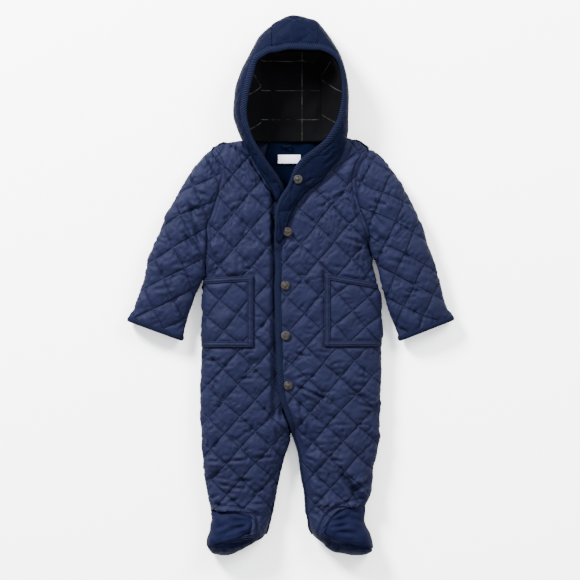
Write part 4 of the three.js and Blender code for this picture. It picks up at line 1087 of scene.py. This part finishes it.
# The fleece inside the hood: a deep bowl of near-black brushed polyester, woven with a thin cream
# windowpane check, joined to the shell all round under the binding.
CREAM = "#24231f"
CHECK = (62, 43.5)  # across and along, from line to line
CHECK_PLACE = (18, 248.25)  # one crossing of its lines
CHECK_LINE = 1.0
FLEECE_THICK = 2
PANEL_SEAMS = [(-43, 244, 35), (47, 256, -33)]
BOWL = table("at left right rim floor", [
    [217, -50, 47.5, 50, 9],
    [226, -55.5, 56.5, 50, 9],
    [240, -60.5, 65.5, 51, 9],
    [262, -63.5, 74, 52, 9],
    [280, -60.8, 76.5, 53, 9],
    [302, -55, 76, 54, 10],
    [320, -51, 72, 55, 14],
    [334, -44, 64, 56, 26],
    [342, -32, 54, 56, 40],
    [347, -18, 40, 56, 52],
])
BOWL_BELOW = 2  # the fleece runs this far down past the first ring


def bowl_ring(v):
    """A ring across the bowl, from the right side of the rim down to its floor and up again."""
    left, right, rim, low = (along(BOWL, v, name) for name in ("left", "right", "rim", "floor"))
    t = np.sin(np.pi / 2 * np.linspace(-1, 1, 65))
    x = left - 2 + (right - left + 4) * (t + 1) / 2
    return Ring(np.column_stack([x, np.full_like(x, v), low + (rim - low) * t ** 6]))


fleece, shader = new_material("brushed_fleece_windowpane")
split = charted(fleece)
woven = []
for axis, spacing in zip("XY", CHECK):
    off = math_node(fleece, "PINGPONG", split[axis], spacing / 2 * MM)
    woven.append(math_node(fleece, "LESS_THAN", off, CHECK_LINE / 2 * MM))
pile = noise(fleece, 620.0, 4.0, 0.7)
worn = node(fleece, "MapRange", {"Value": noise(fleece, 60.0, 2.0), "From Min": 0.4, "From Max": 0.62})
checked = math_node(fleece, "MULTIPLY", math_node(fleece, "MAXIMUM", *woven), worn.outputs[0])
dark = mixed(fleece, pile, linear("#010101"), linear("#030305"))
feed(fleece, shader, {
    "Base Color": mixed(fleece, checked, dark, linear(CREAM)),
    "Roughness": 0.95,
    "Specular IOR Level": 0.03,
    "Normal": bumped(fleece, pile, 0.7, 0.9),
})

stations = np.linspace(BOWL["at"][0] - BOWL_BELOW, BOWL["at"][-1], 60)
ends = [lambda here, v: here.start]
for x, _, _ in PANEL_SEAMS:
    ends.append(lambda here, v, x=x: np.interp(x, here.points[:, 0], here.lengths))
ends.append(lambda here, v: here.end)
pivots = [PANEL_SEAMS[0], (*CHECK_PLACE, 0), PANEL_SEAMS[1]]
parts, fleece_area = [], 0
for start, end, (pivot_x, pivot_y, turn) in zip(ends, ends[1:], pivots):
    points, u, v = laid(bowl_ring, stations, start, end)
    normal = facing(points, False)
    waves = (1.2 * crumple(points[..., 0], v, 101, 34) + 0.8) * smooth(from_edge(u), 0, 8)
    outer = points + normal * waves[..., None]
    chart_mm = np.stack(turned(points[..., 0] - pivot_x, v - pivot_y, turn), -1)
    chart_mm[..., 0] += CHECK[0] / 2 if turn else 0
    parts.append((outer, points - FLEECE_THICK * normal, chart_mm, False))
    fleece_area += cut_of(points)[1]
piece = cloth_mesh("hood_fleece", parts, fleece)
points, _, _ = laid(bowl_ring, stations, ends[0], ends[-1])
fasten(piece, ["hood_lining"], (cut_of(points)[0], fleece_area))

# The neck facing: navy fleece sewn flat inside the back of the neck, running on under both fronts,
# with a bare woven label of white satin and a hanging loop of the binding's cord above it.
FACING = table("at left right", [
    [112, -8, 2],
    [135, -24, 8],
    [160, -38, 28],
    [185, -42, 50],
    [200, -34, 54],
    [216.4, -31, 50],
])
FACING_HEIGHT = 7.5
LABEL = {"width": 34, "height": 13, "x": -1, "y": 189}
LOOP = {"x": -5, "y": 209, "reach": 6, "rise": 5, "radius": 1.4}


def facing_ring(v):
    """A level ring of the facing, a little deeper in the middle."""
    x = np.linspace(along(FACING, v, "left"), along(FACING, v, "right"), 9)
    return Ring(np.column_stack([x, np.full_like(x, v), np.full_like(x, FACING_HEIGHT)]))


jersey, shader = new_material("brushed_navy_facing")
nap = noise(jersey, 700.0, 4.0, 0.7)
feed(jersey, shader, {
    "Base Color": mixed(jersey, nap, linear("#02040d"), linear("#040714")),
    "Roughness": 0.95,
    "Specular IOR Level": 0.0,
    "Normal": bumped(jersey, nap, 0.5, 0.6),
})
points, u, v = laid(facing_ring, np.linspace(FACING["at"][0], FACING["at"][-1], 48))
outer = points + 1.1 * crumple(points[..., 0], v, 111, 40)[..., None] * [0, 0, 1]
within = outer - [0, 0, FLEECE_THICK]
piece = cloth_mesh("neck_facing_cloth", [(outer, within, points[..., :2], False)], jersey)
fasten(piece, ["neck_facing"], cut_of(points))

satin, shader = new_material("woven_label_satin")
chart = node(satin, "UVMap", uv_map="cloth")
ribs = node(satin, "TexWave", {"Vector": chart.outputs[0], "Scale": 320.0, "Distortion": 0.0})
feed(satin, shader, {
    "Base Color": linear("#a9a7b4"),
    "Roughness": 0.5,
    "Normal": bumped(satin, ribs.outputs["Fac"], 0.3, 0.1),
})
across, up = np.meshgrid(np.linspace(-0.5, 0.5, 25), np.linspace(-0.5, 0.5, 11))
bowed = 0.9 * (1 - (2 * across) ** 2) * (1 - 0.6 * (2 * up) ** 2) + 0.9
label = np.stack([
    LABEL["x"] + across * LABEL["width"],
    LABEL["y"] + up * LABEL["height"],
    FACING_HEIGHT + 1.8 + bowed,
], -1)
piece = cloth_mesh("bare_label", [(label, label - [0, 0, 0.5], label[..., :2], False)], satin)
fasten(piece, ["label"], cut_of(label))

# Binding, cut from ribbed tape and folded over each raw edge: the hood's opening, the left front's edge
# down to the crotch and on to the heel, the right leg's inseam, and the cuffs.
TAPE = table("across up", [
    [8.2, -3.2],
    [5, -3.9],
    [2.4, -3.8],
    [0.3, -3.2],
    [-0.8, -1.6],
    [-0.9, 0.2],
    [-0.2, 1.8],
    [1.5, 2.9],
    [3.6, 3.3],
    [5.4, 3.1],
    [6.9, 2.3],
    [7.6, 1.5],
    [8.3, 1.7],
    [9, 1.2],
    [9.1, 0.3],
])
TAPE_SEWN = 11  # the row of the profile that the stitching pulls down
TAPE_THICK = 0.9
TAPE_REACH = 9.4  # from the edge to the far side of the tape
TAPE_PITCH = 2.6
RIB = 3.3  # the tape's real ribs are 1 mm apart: drawn as coarse as a close view can show

ribbed, shader = new_material("ribbed_binding_tape_navy")
split = charted(ribbed)
slant = math_node(ribbed, "ADD", split["Y"], math_node(ribbed, "MULTIPLY", split["X"], 0.5))
rib = math_node(ribbed, "SINE", math_node(ribbed, "MULTIPLY", slant, 2 * np.pi / (RIB * MM)))
ridge = node(ribbed, "MapRange", {"Value": rib, "From Min": -1.0})
# The tape's colour follows its ribs: the hollows between them are painted darker, as painted shade.
feed(ribbed, shader, {
    "Base Color": mixed(ribbed, ridge.outputs[0], linear("#04060f"), linear("#0c0f21")),
    "Roughness": 0.8,
    "Specular IOR Level": 0.02,
    "Normal": bumped(ribbed, ridge.outputs[0], 0.9, 0.9),
})


def taped(points, normal, seed, scale, pressed):
    """Folds tape over the edge of a grid of cloth, whose first column is the edge, and presses it flat."""
    steps = np.linalg.norm(np.diff(points, axis=1), axis=2)
    widths = np.concatenate([np.zeros((len(points), 1)), np.cumsum(steps, 1)], 1)
    inward = (points[:, 1] - points[:, 0]) / np.maximum(steps[:, :1], 1e-6)
    across, up = TAPE["across"] * scale, TAPE["up"] * scale * pressed
    rows = []
    for k, row in enumerate(points):
        held = np.clip(across, 0, widths[k, -1])
        on, out = on_line(held, widths[k], row), on_line(held, widths[k], normal[k])
        rows.append(on + out * up[:, None] + inward[k] * (across - held)[:, None])
    outer = np.array(rows)
    folded = run_along(np.column_stack([across, up]))
    chart = np.stack(np.meshgrid(folded, run_along(points[:, 0])), -1)
    ripple = 0.28 * crumple(chart[..., 0] * 0.4, chart[..., 1], seed, 11) * smooth(up, 0.5, 2.5)
    return outer, chart, ripple


def tape_piece(name, grids, nodes):
    """One length of binding, or several, as one object."""
    parts, cuts, rows = [], [], []
    for seed, (points, normal, inward, scale, pressed) in enumerate(grids):
        skin, chart, ripple = taped(points, normal, 120 + seed, scale, pressed)
        out = facing(skin, inward)
        parts.append((skin + out * ripple[..., None], skin - out * TAPE_THICK, chart, inward))
        cuts.append(cut_of(skin))
        rows.append((parts[-1][0][:, TAPE_SEWN], out[:, TAPE_SEWN]))
    piece = cloth_mesh(name, parts, ribbed)
    width = max(cut[0][0] for cut in cuts)
    length = sum(cut[0][1] for cut in cuts)
    fasten(piece, nodes, ((width, length), sum(cut[1] for cut in cuts)))
    return rows


def edge_strip(ring, stations, width, inward):
    """A narrow grid of cloth from an edge inwards, for tape to go over."""
    points, _, _ = laid(ring, stations, end=lambda here, v: here.start + width, pitch=width / 6)
    return points, facing(points, inward)


whole_hood = spaced(HOOD_RIGHT + HOOD_CENTRE + HOOD_LEFT)
length = whole_hood["at"][-1]
stations = np.linspace(0, length, int(length / TAPE_PITCH))
points, normal = edge_strip(hood_ring(whole_hood, None, False), stations, TAPE_REACH, True)
tape_rows = tape_piece("hood_opening_binding", [(points, normal, True, 1.0, 0.85)],
                       ["hood_binding_side_right", "hood_binding_centre", "hood_binding_side_left"])

# Above the pockets the left front's edge runs on under the end of the hood's strip, so the tape's own
# edge keeps straight on up to meet the tape of the hood.
TAPE_TOP = 79
edge_rows = {name: column.copy() for name, column in LEFT_HALF.items()}
over = (edge_rows["at"] > 50) & (edge_rows["at"] < 100)
edge_rows["edge"][over] = -22.3
edge_rows["edgeTop"][over] = 39.5
taped_half = {**HALVES["left"], "rows": edge_rows}
points, normal = edge_strip(front_ring(taped_half), np.linspace(HEEL + 0.5, TAPE_TOP, 176), TAPE_REACH, False)
tape_rows += tape_piece("left_front_binding", [(points, normal, False, 1.0, 0.6)], ["binding_front"])
points, normal = edge_strip(front_ring(HALVES["right"]), np.linspace(HEEL + 0.5, -226, 62), 8, True)
tape_rows += tape_piece("right_inseam_binding", [(points, normal, True, 0.78, 0.9)], ["binding_inseam"])

for side, sleeve in SLEEVES.items():
    ring = sleeve_ring(HALVES[side], sleeve)
    points, _, _ = laid(ring, np.linspace(0, TAPE_REACH, 7), pitch=TAPE_PITCH)
    normal = facing(points, side == "right").swapaxes(0, 1)
    grid = (points.swapaxes(0, 1), normal, side != "right", 0.92, 0.9)
    tape_rows += tape_piece(f"cuff_tape_{side}", [grid], [f"cuff_{side}"])


# Patch pockets of the same quilted cloth, open along their slanting tops and sewn down round the rest,
# with flat bands of plain cloth stitched twice over their tops, front edges and bottoms.
BAND_WIDTH = 8.5
POCKET_LIFT = 1.4
BAND_LIFT = 2.4
BAND_SEWN = 1.9  # from each edge of a band to its row of stitching
BAND_SAG = 0.3
UNDER_BAND = 0.6  # the undersides of the bands and of the pockets, above the front
UNDER_POCKET = 0.3
SIDE_SEAM = (0.992, 0.995)  # share of the front's width at which a pocket, and a band, ends
band_taffeta = taffeta_of("polyester_taffeta_navy_bands", "#0c0e20", "#090b18", 0.0, 0.03)


def spot(part, share, v, name="points"):
    """Places on a grid of cloth, at shares of the way across it and lengths along it."""
    rows, columns = part["v"].shape
    j = np.clip((v - part["v"][0, 0]) / (part["v"][-1, 0] - part["v"][0, 0]) * (rows - 1), 0, rows - 1.001)
    i = np.clip(share * (columns - 1), 0, columns - 1.001)
    low_j, low_i = j.astype(int), i.astype(int)
    fj, fi = (j - low_j)[..., None], (i - low_i)[..., None]
    grid = part[name]
    low = grid[low_j, low_i] * (1 - fi) + grid[low_j, low_i + 1] * fi
    high = grid[low_j + 1, low_i] * (1 - fi) + grid[low_j + 1, low_i + 1] * fi
    return low * (1 - fj) + high * fj


def share_at(part, x, y, away):
    """Share of the way across a front at which its cloth passes x."""
    columns = part["points"].shape[1]
    found = []
    for one_x, one_y in zip(np.ravel(x), np.ravel(y)):
        row = spot(part, np.linspace(0, 1, columns), np.full(columns, one_y))
        found.append(np.interp(one_x * away, row[:, 0] * away, np.linspace(0, 1, columns)))
    return np.array(found).reshape(np.shape(x))


def band_profile(across, width):
    """Height of a stitched band above its edges: a low roll between its two rows of stitching."""
    share = np.clip(across / width, 0, 1)
    roll = 1 - (2 * share - 1) ** 8
    rows = sum(bell(across, at, 0.9) for at in (BAND_SEWN, width - BAND_SEWN))
    return 0.4 + 1.3 * roll - 1.1 * rows


pocket_runs = []
for seed, (side, pocket) in enumerate(POCKETS.items()):
    away = HALVES[side]["away"]
    front = fronts[side]
    low, inner = pocket["low"], pocket["inner"]
    across = np.linspace(0, 1, 40)[None, :]
    up = np.linspace(0, 1, 50)[:, None]
    x_guess = inner + (pocket["outer"] - inner) * across
    y = low + 2 + (pocket_top(pocket, x_guess) - 3 - low) * up
    first = share_at(front, np.full_like(y[:, 0], inner + away * 2), y[:, 0], away)[:, None]
    share = first + (SIDE_SEAM[0] - first) * across
    points, normal = spot(front, share, y), spot(front, share, y, "normal")
    u = spot({**front, "points": np.repeat(front["u"][..., None], 3, 2)}, share, y)[..., 0]
    grain = (6 if side == "right" else -5, 30, -38)
    inside = np.minimum(np.abs(points[..., 0]) - abs(inner), pocket_top(pocket, points[..., 0]) - y)
    kept = smooth(np.minimum(inside, y - low), BAND_WIDTH - 2, BAND_WIDTH + 5)
    raised = 0.85 * quilted(u * away, y, grain, 150 + seed) + 0.5 * crumple(u, y, 152 + seed, 26)
    raised = POCKET_LIFT + kept * (raised + creased(points, normal) * 0.7)
    outer = points + normal * raised[..., None]
    part = (outer, points + normal * UNDER_POCKET, stitch_axes(u * away, y, *grain), side == "right")
    piece = cloth_mesh(f"pocket_cloth_{side}", [part], taffeta)
    fasten(piece, [f"pocket_{side}"], cut_of(points))

    width = np.linspace(0, BAND_WIDTH, 13)
    strips = []
    y = np.linspace(low, pocket["inner_top"], 46)[:, None] + 0 * width[None, :]
    inside, outside = (
        share_at(front, np.full(46, inner + across), y[:, 0], away) for across in (0.0, away * BAND_WIDTH)
    )
    share = inside[:, None] + (outside - inside)[:, None] * width[None, :] / BAND_WIDTH
    strips.append((share, y))
    for top in (True, False):
        run = np.linspace(0, 1, 34)[:, None]
        x = inner + (pocket["outer"] - inner) * run
        height = pocket_top(pocket, x) if top else np.full_like(x, low + BAND_WIDTH)
        y = height - width[None, :]
        first = share_at(front, np.full(34, inner + 0.0), y[:, 6], away)[:, None]
        strips.append((first + (SIDE_SEAM[1] - first) * run + 0 * y, y))
    parts, area = [], 0
    for k, (share, y) in enumerate(strips):
        points, normal = spot(front, share, y), spot(front, share, y, "normal")
        lift = BAND_LIFT + 0.25 * (k == 0) + band_profile(width, BAND_WIDTH)[None, :]
        lift = lift + BAND_SAG * crumple(y, share * 70, 160 + 3 * seed + k, 12)
        lift = 0.8 + (lift - 0.8) * (1 - smooth(share, 0.93, 0.99))
        skin = points + normal * lift[..., None]
        chart_mm = np.stack([np.broadcast_to(width, y.shape), np.cumsum(np.full(y.shape, 1.9), 0)], -1)
        parts.append((skin, points + normal * UNDER_BAND, chart_mm, side == "right"))
        area += cut_of(points)[1]
        for column in (2, -3):
            pocket_runs.append((skin[:, column], normal[:, column]))
    piece = cloth_mesh(f"pocket_bands_{side}", parts, band_taffeta)
    length = area / (BAND_WIDTH * MM)
    fasten(piece, [f"pocket_binding_{side}"], ((BAND_WIDTH * MM * 1.2, length), area))


# The feet: a plain upper over each toe, set into the padded end of the leg, and a sole that runs
# under the foot and up round its end, of the same cloth with no wadding.
# The plain taffeta of the feet has no lines, and its colour is painted darker than the quilted cloth's:
# painted shade over the feet.
plain_taffeta_painted_shade = taffeta_of("polyester_taffeta_navy_plain_painted_shade", "#080a1d", "#060816", 0.0, 0.012)
for seed, (side, half) in enumerate(HALVES.items()):
    foot = FEET[side]
    inward = side == "right"
    ring = front_ring(half)

    def upper_start(here, v):
        instep = here.where(along(foot["instep"], v, "x"))
        return max(instep, here.where(along(foot["sole"], v, "x"))) if v < foot["sole"]["at"][-1] else instep

    stations = np.linspace(foot["sole"]["at"][0] + 0.4, half["leg_end"] + 4, 40)
    points, u, v = laid(ring, stations, upper_start, pitch=2)
    normal = facing(points, inward)
    edge = smooth(from_edge(u), 0, 6)
    under_leg = smooth(v, half["leg_end"] - 5, half["leg_end"])
    rise = (1.4 + 0.9 * crumple(points[..., 0], v, 180 + seed, 20)) * edge + creased(points, normal) * 0.9
    rise = rise * (1 - under_leg) - 0.5 * under_leg
    outer = points + normal * rise[..., None]
    chart_mm = np.stack([u, v], -1)
    padded(f"foot_upper_{side}", points, outer, normal, chart_mm, inward, plain_taffeta_painted_shade, f"foot_{side}")

    def sole_ring(y, half=half):
        over, under = body_section(half, y)
        return Ring(np.vstack([under, over[1:]]), Ring(under).end)

    def sole_end(here, v):
        if v > HEEL:
            return -0.3
        if v < foot["sole"]["at"][0]:
            return here.end
        top = ring(v)
        return max((top.where(along(foot["sole"], v, "x")) - top.start) * climbed(v), 0.3)

    stations = np.linspace(TOE + 0.2, BACK_END, 40)
    points, u, v = laid(sole_ring, stations, end=sole_end, pitch=2.5)
    normal = facing(points, inward)
    upward = smooth(normal[..., 2], -0.2, 0.3)
    outer = points + normal * (0.8 * crumple(points[..., 0], v, 190 + seed, 18) * upward)[..., None]
    chart_mm = np.stack([u, v], -1)
    thin = (0.4 + 1.6 * smooth(v, TOE, TOE + 20))[..., None]
    within = points - thin * normal
    outer[0, :, 2] = outer[0, :, 2].mean()
    within[0, :, 2] = outer[0, :, 2]
    piece = cloth_mesh(f"sole_cloth_{side}", [(outer, within, chart_mm, inward)], plain_taffeta_painted_shade)
    fasten(piece, [f"sole_{side}"], cut_of(points))


# The hanging loop, a short cord bent over and sewn into the neck seam at both ends.
def cord(name, path, radius, material, sides=8):
    """A round cord along a path of points in millimetres, closed at both ends."""
    way = np.gradient(path, axis=0)
    way /= np.linalg.norm(way, axis=1, keepdims=True)
    side = np.cross(way, [0, 1, 0.0])
    side /= np.linalg.norm(side, axis=1, keepdims=True)
    up = np.cross(side, way)
    angle = np.linspace(0, 2 * np.pi, sides, endpoint=False)[None, :, None]
    rings = path[:, None] + radius * (np.cos(angle) * side[:, None] + np.sin(angle) * up[:, None])
    count = len(path)
    cap = way * radius * 0.6
    vertices = np.vstack([rings.reshape(-1, 3), path[:1] - cap[:1], path[-1:] + cap[-1:]])
    faces = []
    for k in range(count - 1):
        for s in range(sides):
            t = (s + 1) % sides
            faces.append([k * sides + s, k * sides + t, (k + 1) * sides + t, (k + 1) * sides + s])
    for s in range(sides):
        t = (s + 1) % sides
        faces.append([count * sides, t, s])
        faces.append([count * sides + 1, (count - 1) * sides + s, (count - 1) * sides + t])
    made = mesh_of(name, vertices, faces, material)
    made.data.uv_layers.new(name="cloth")
    return made


t = np.linspace(0, np.pi, 17)
arch = np.column_stack([
    LOOP["x"] - LOOP["reach"] * np.cos(t),
    LOOP["y"] - 1.5 * np.sin(t),
    FACING_HEIGHT + 0.6 + LOOP["rise"] * np.sin(t) ** 0.8,
])
piece = cord("loop_cord", arch, LOOP["radius"], ribbed)
fasten(piece, ["hanging_loop"], None)


# Five snaps of antiqued brass down the left front: a pressed cap with a raised ring and a low dome. The
# sockets are under them in the right front.
brass, shader = new_material("antiqued_brass_snap")
tarnish = noise(brass, 260.0, 3.0)
worn = node(brass, "MapRange", {"Value": tarnish, "From Min": 0.38, "From Max": 0.62})
gloss = node(brass, "MapRange", {"Value": tarnish, "To Min": 0.3, "To Max": 0.55})
aged = mixed(brass, noise(brass, 5.0, 0.0), linear("#1d120c"), linear("#222424"))
feed(brass, shader, {
    "Base Color": mixed(brass, worn.outputs[0], linear("#0f0d0b"), aged),
    "Metallic": 0.15,
    "Specular IOR Level": 0.12,
    "Roughness": gloss.outputs[0],
    "Normal": bumped(brass, tarnish, 0.25, 0.2),
})
CAP = {"thick": 1.8, "at": 1.0, "bevel": 0.7}  # at is the height of its middle above the snap's foot
RAISED_RING = {"radius": 4.5, "thick": 0.5, "at": 1.85}
DOME = {"radius": 3.4, "flattened": 0.22, "at": 1.7}
for k in range(1, len(SNAPS) + 1):
    low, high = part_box(f"snap_{k}")
    middle = (low + high) / 2
    foot_at, ring_at, dome_at = (
        (middle.x, middle.y, low.z + shape["at"] * MM) for shape in (CAP, RAISED_RING, DOME)
    )
    bpy.ops.object.select_all(action="DESELECT")
    bpy.ops.mesh.primitive_cylinder_add(vertices=40, radius=SNAP_RADIUS * MM, depth=CAP["thick"] * MM,
                                        location=foot_at)
    cap = bpy.context.object
    bevel = cap.modifiers.new("rolled_edge", "BEVEL")
    bevel.width = CAP["bevel"] * MM
    bevel.segments = 3
    bpy.ops.object.modifier_apply(modifier="rolled_edge")
    bpy.ops.mesh.primitive_torus_add(major_radius=RAISED_RING["radius"] * MM, major_segments=40,
                                     minor_radius=RAISED_RING["thick"] * MM, minor_segments=8,
                                     location=ring_at)
    raised_ring = bpy.context.object
    bpy.ops.mesh.primitive_uv_sphere_add(segments=32, ring_count=12, radius=DOME["radius"] * MM,
                                         location=dome_at)
    dome = bpy.context.object
    dome.scale = (1, 1, DOME["flattened"])
    for shape in (cap, raised_ring, dome):
        shape.select_set(True)
    bpy.context.view_layer.objects.active = cap
    bpy.ops.object.join()
    bpy.ops.object.transform_apply(location=True, rotation=True, scale=True)
    bpy.ops.object.shade_smooth_by_angle(angle=0.7)
    cap.name = f"snap_cap_{k}"
    cap.data.materials.clear()
    cap.data.materials.append(brass)
    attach(cap, "root")
    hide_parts(f"snap_{k}")
    cap.select_set(False)


# Topstitching of polyester thread: in pairs beside the armholes, the neck seams and the hood's two
# seams, and once along the bindings and twice round the pockets.
THREAD_RADIUS = 0.42
STITCH_LENGTH = 2.5
SHOULDER = 0.72  # share of its half length at which a stitch turns down
DIVE = 0.2
NECK_ROWS = (2.0, 7.6)  # of stitching beside the neck seam

thread, shader = new_material("polyester_thread_navy")
feed(thread, shader, {"Base Color": linear("#0a0c1c"), "Roughness": 0.7, "Specular IOR Level": 0.03})


def beside(part, off, rows):
    """A line of places and normals on some rows of a displaced grid, some way in from its last column."""
    line, out = [], []
    for u, points, normal in zip(part["u"][rows], part["outer"][rows], part["normal"][rows]):
        line.append(on_line(u[-1] - off, u, points))
        out.append(on_line(u[-1] - off, u, normal))
    return np.array(line), np.array(out)


def sewn(line, out):
    """Middles, ways and normals of the stitches along a line."""
    lengths = run_along(line)
    at = np.arange(STITCH, lengths[-1] - STITCH, STITCH)
    place = on_line(at, lengths, line)
    normal = on_line(at, lengths, out)
    way = on_line(at + 1, lengths, line) - place
    way /= np.maximum(np.linalg.norm(way, axis=1, keepdims=True), 1e-9)
    normal /= np.maximum(np.linalg.norm(normal, axis=1, keepdims=True), 1e-9)
    return place + normal * THREAD_RADIUS * 0.5, way, normal


def stitch_piece(name, runs):
    """Every stitch of some runs, as one object of small closed beads of thread."""
    sides = 5
    angle = np.linspace(0, 2 * np.pi, sides, endpoint=False)
    half = STITCH_LENGTH / 2
    vertices, faces = [], []
    for line, out in runs:
        for place, way, normal in zip(*sewn(line, out)):
            side = np.cross(way, normal)
            side /= np.linalg.norm(side)
            first = len(vertices)
            for end in (-1, 1):
                for a in angle:
                    round_it = np.cos(a) * side + np.sin(a) * normal
                    vertices.append(place + way * end * half * SHOULDER + round_it * THREAD_RADIUS)
            vertices += [place + way * end * half - normal * DIVE for end in (-1, 1)]
            for s in range(sides):
                t = (s + 1) % sides
                faces.append([first + s, first + sides + s, first + sides + t, first + t])
                faces.append([first + 2 * sides, first + s, first + t])
                faces.append([first + 2 * sides + 1, first + sides + t, first + sides + s])
    made = mesh_of(name, vertices, faces, thread)
    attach(made, "root")


runs = []
for side, half in HALVES.items():
    front = fronts[side]
    armhole = (front["v"][:, 0] > half["armpit"] + 8) & (front["v"][:, 0] < half["shoulder"][0][1] - 4)
    for off in SEAM_ROWS:
        runs.append(beside(front, off, armhole))
    strip = hood[f"side_{side}"]
    corner = list(strip["rows"]["endY"]).index(half["shoulder"][-1][1])
    corner_at = strip["rows"]["at"][corner]
    on_neck = strip["v"][:, 0] < corner_at if side == "right" else strip["v"][:, 0] > corner_at
    for off in NECK_ROWS:
        runs.append(beside(strip, off, on_neck))
for part, rows in (("side_right", -2), ("centre", 2), ("centre", -3), ("side_left", 1)):
    strip = hood[part]
    shown = (strip["u"][rows] > RIM) & (strip["normal"][rows][:, 2] > -0.2)
    runs.append((strip["outer"][rows][shown], strip["normal"][rows][shown]))
stitch_piece("topstitching", runs)
stitch_piece("binding_stitching", tape_rows)
stitch_piece("pocket_stitching", pocket_runs)
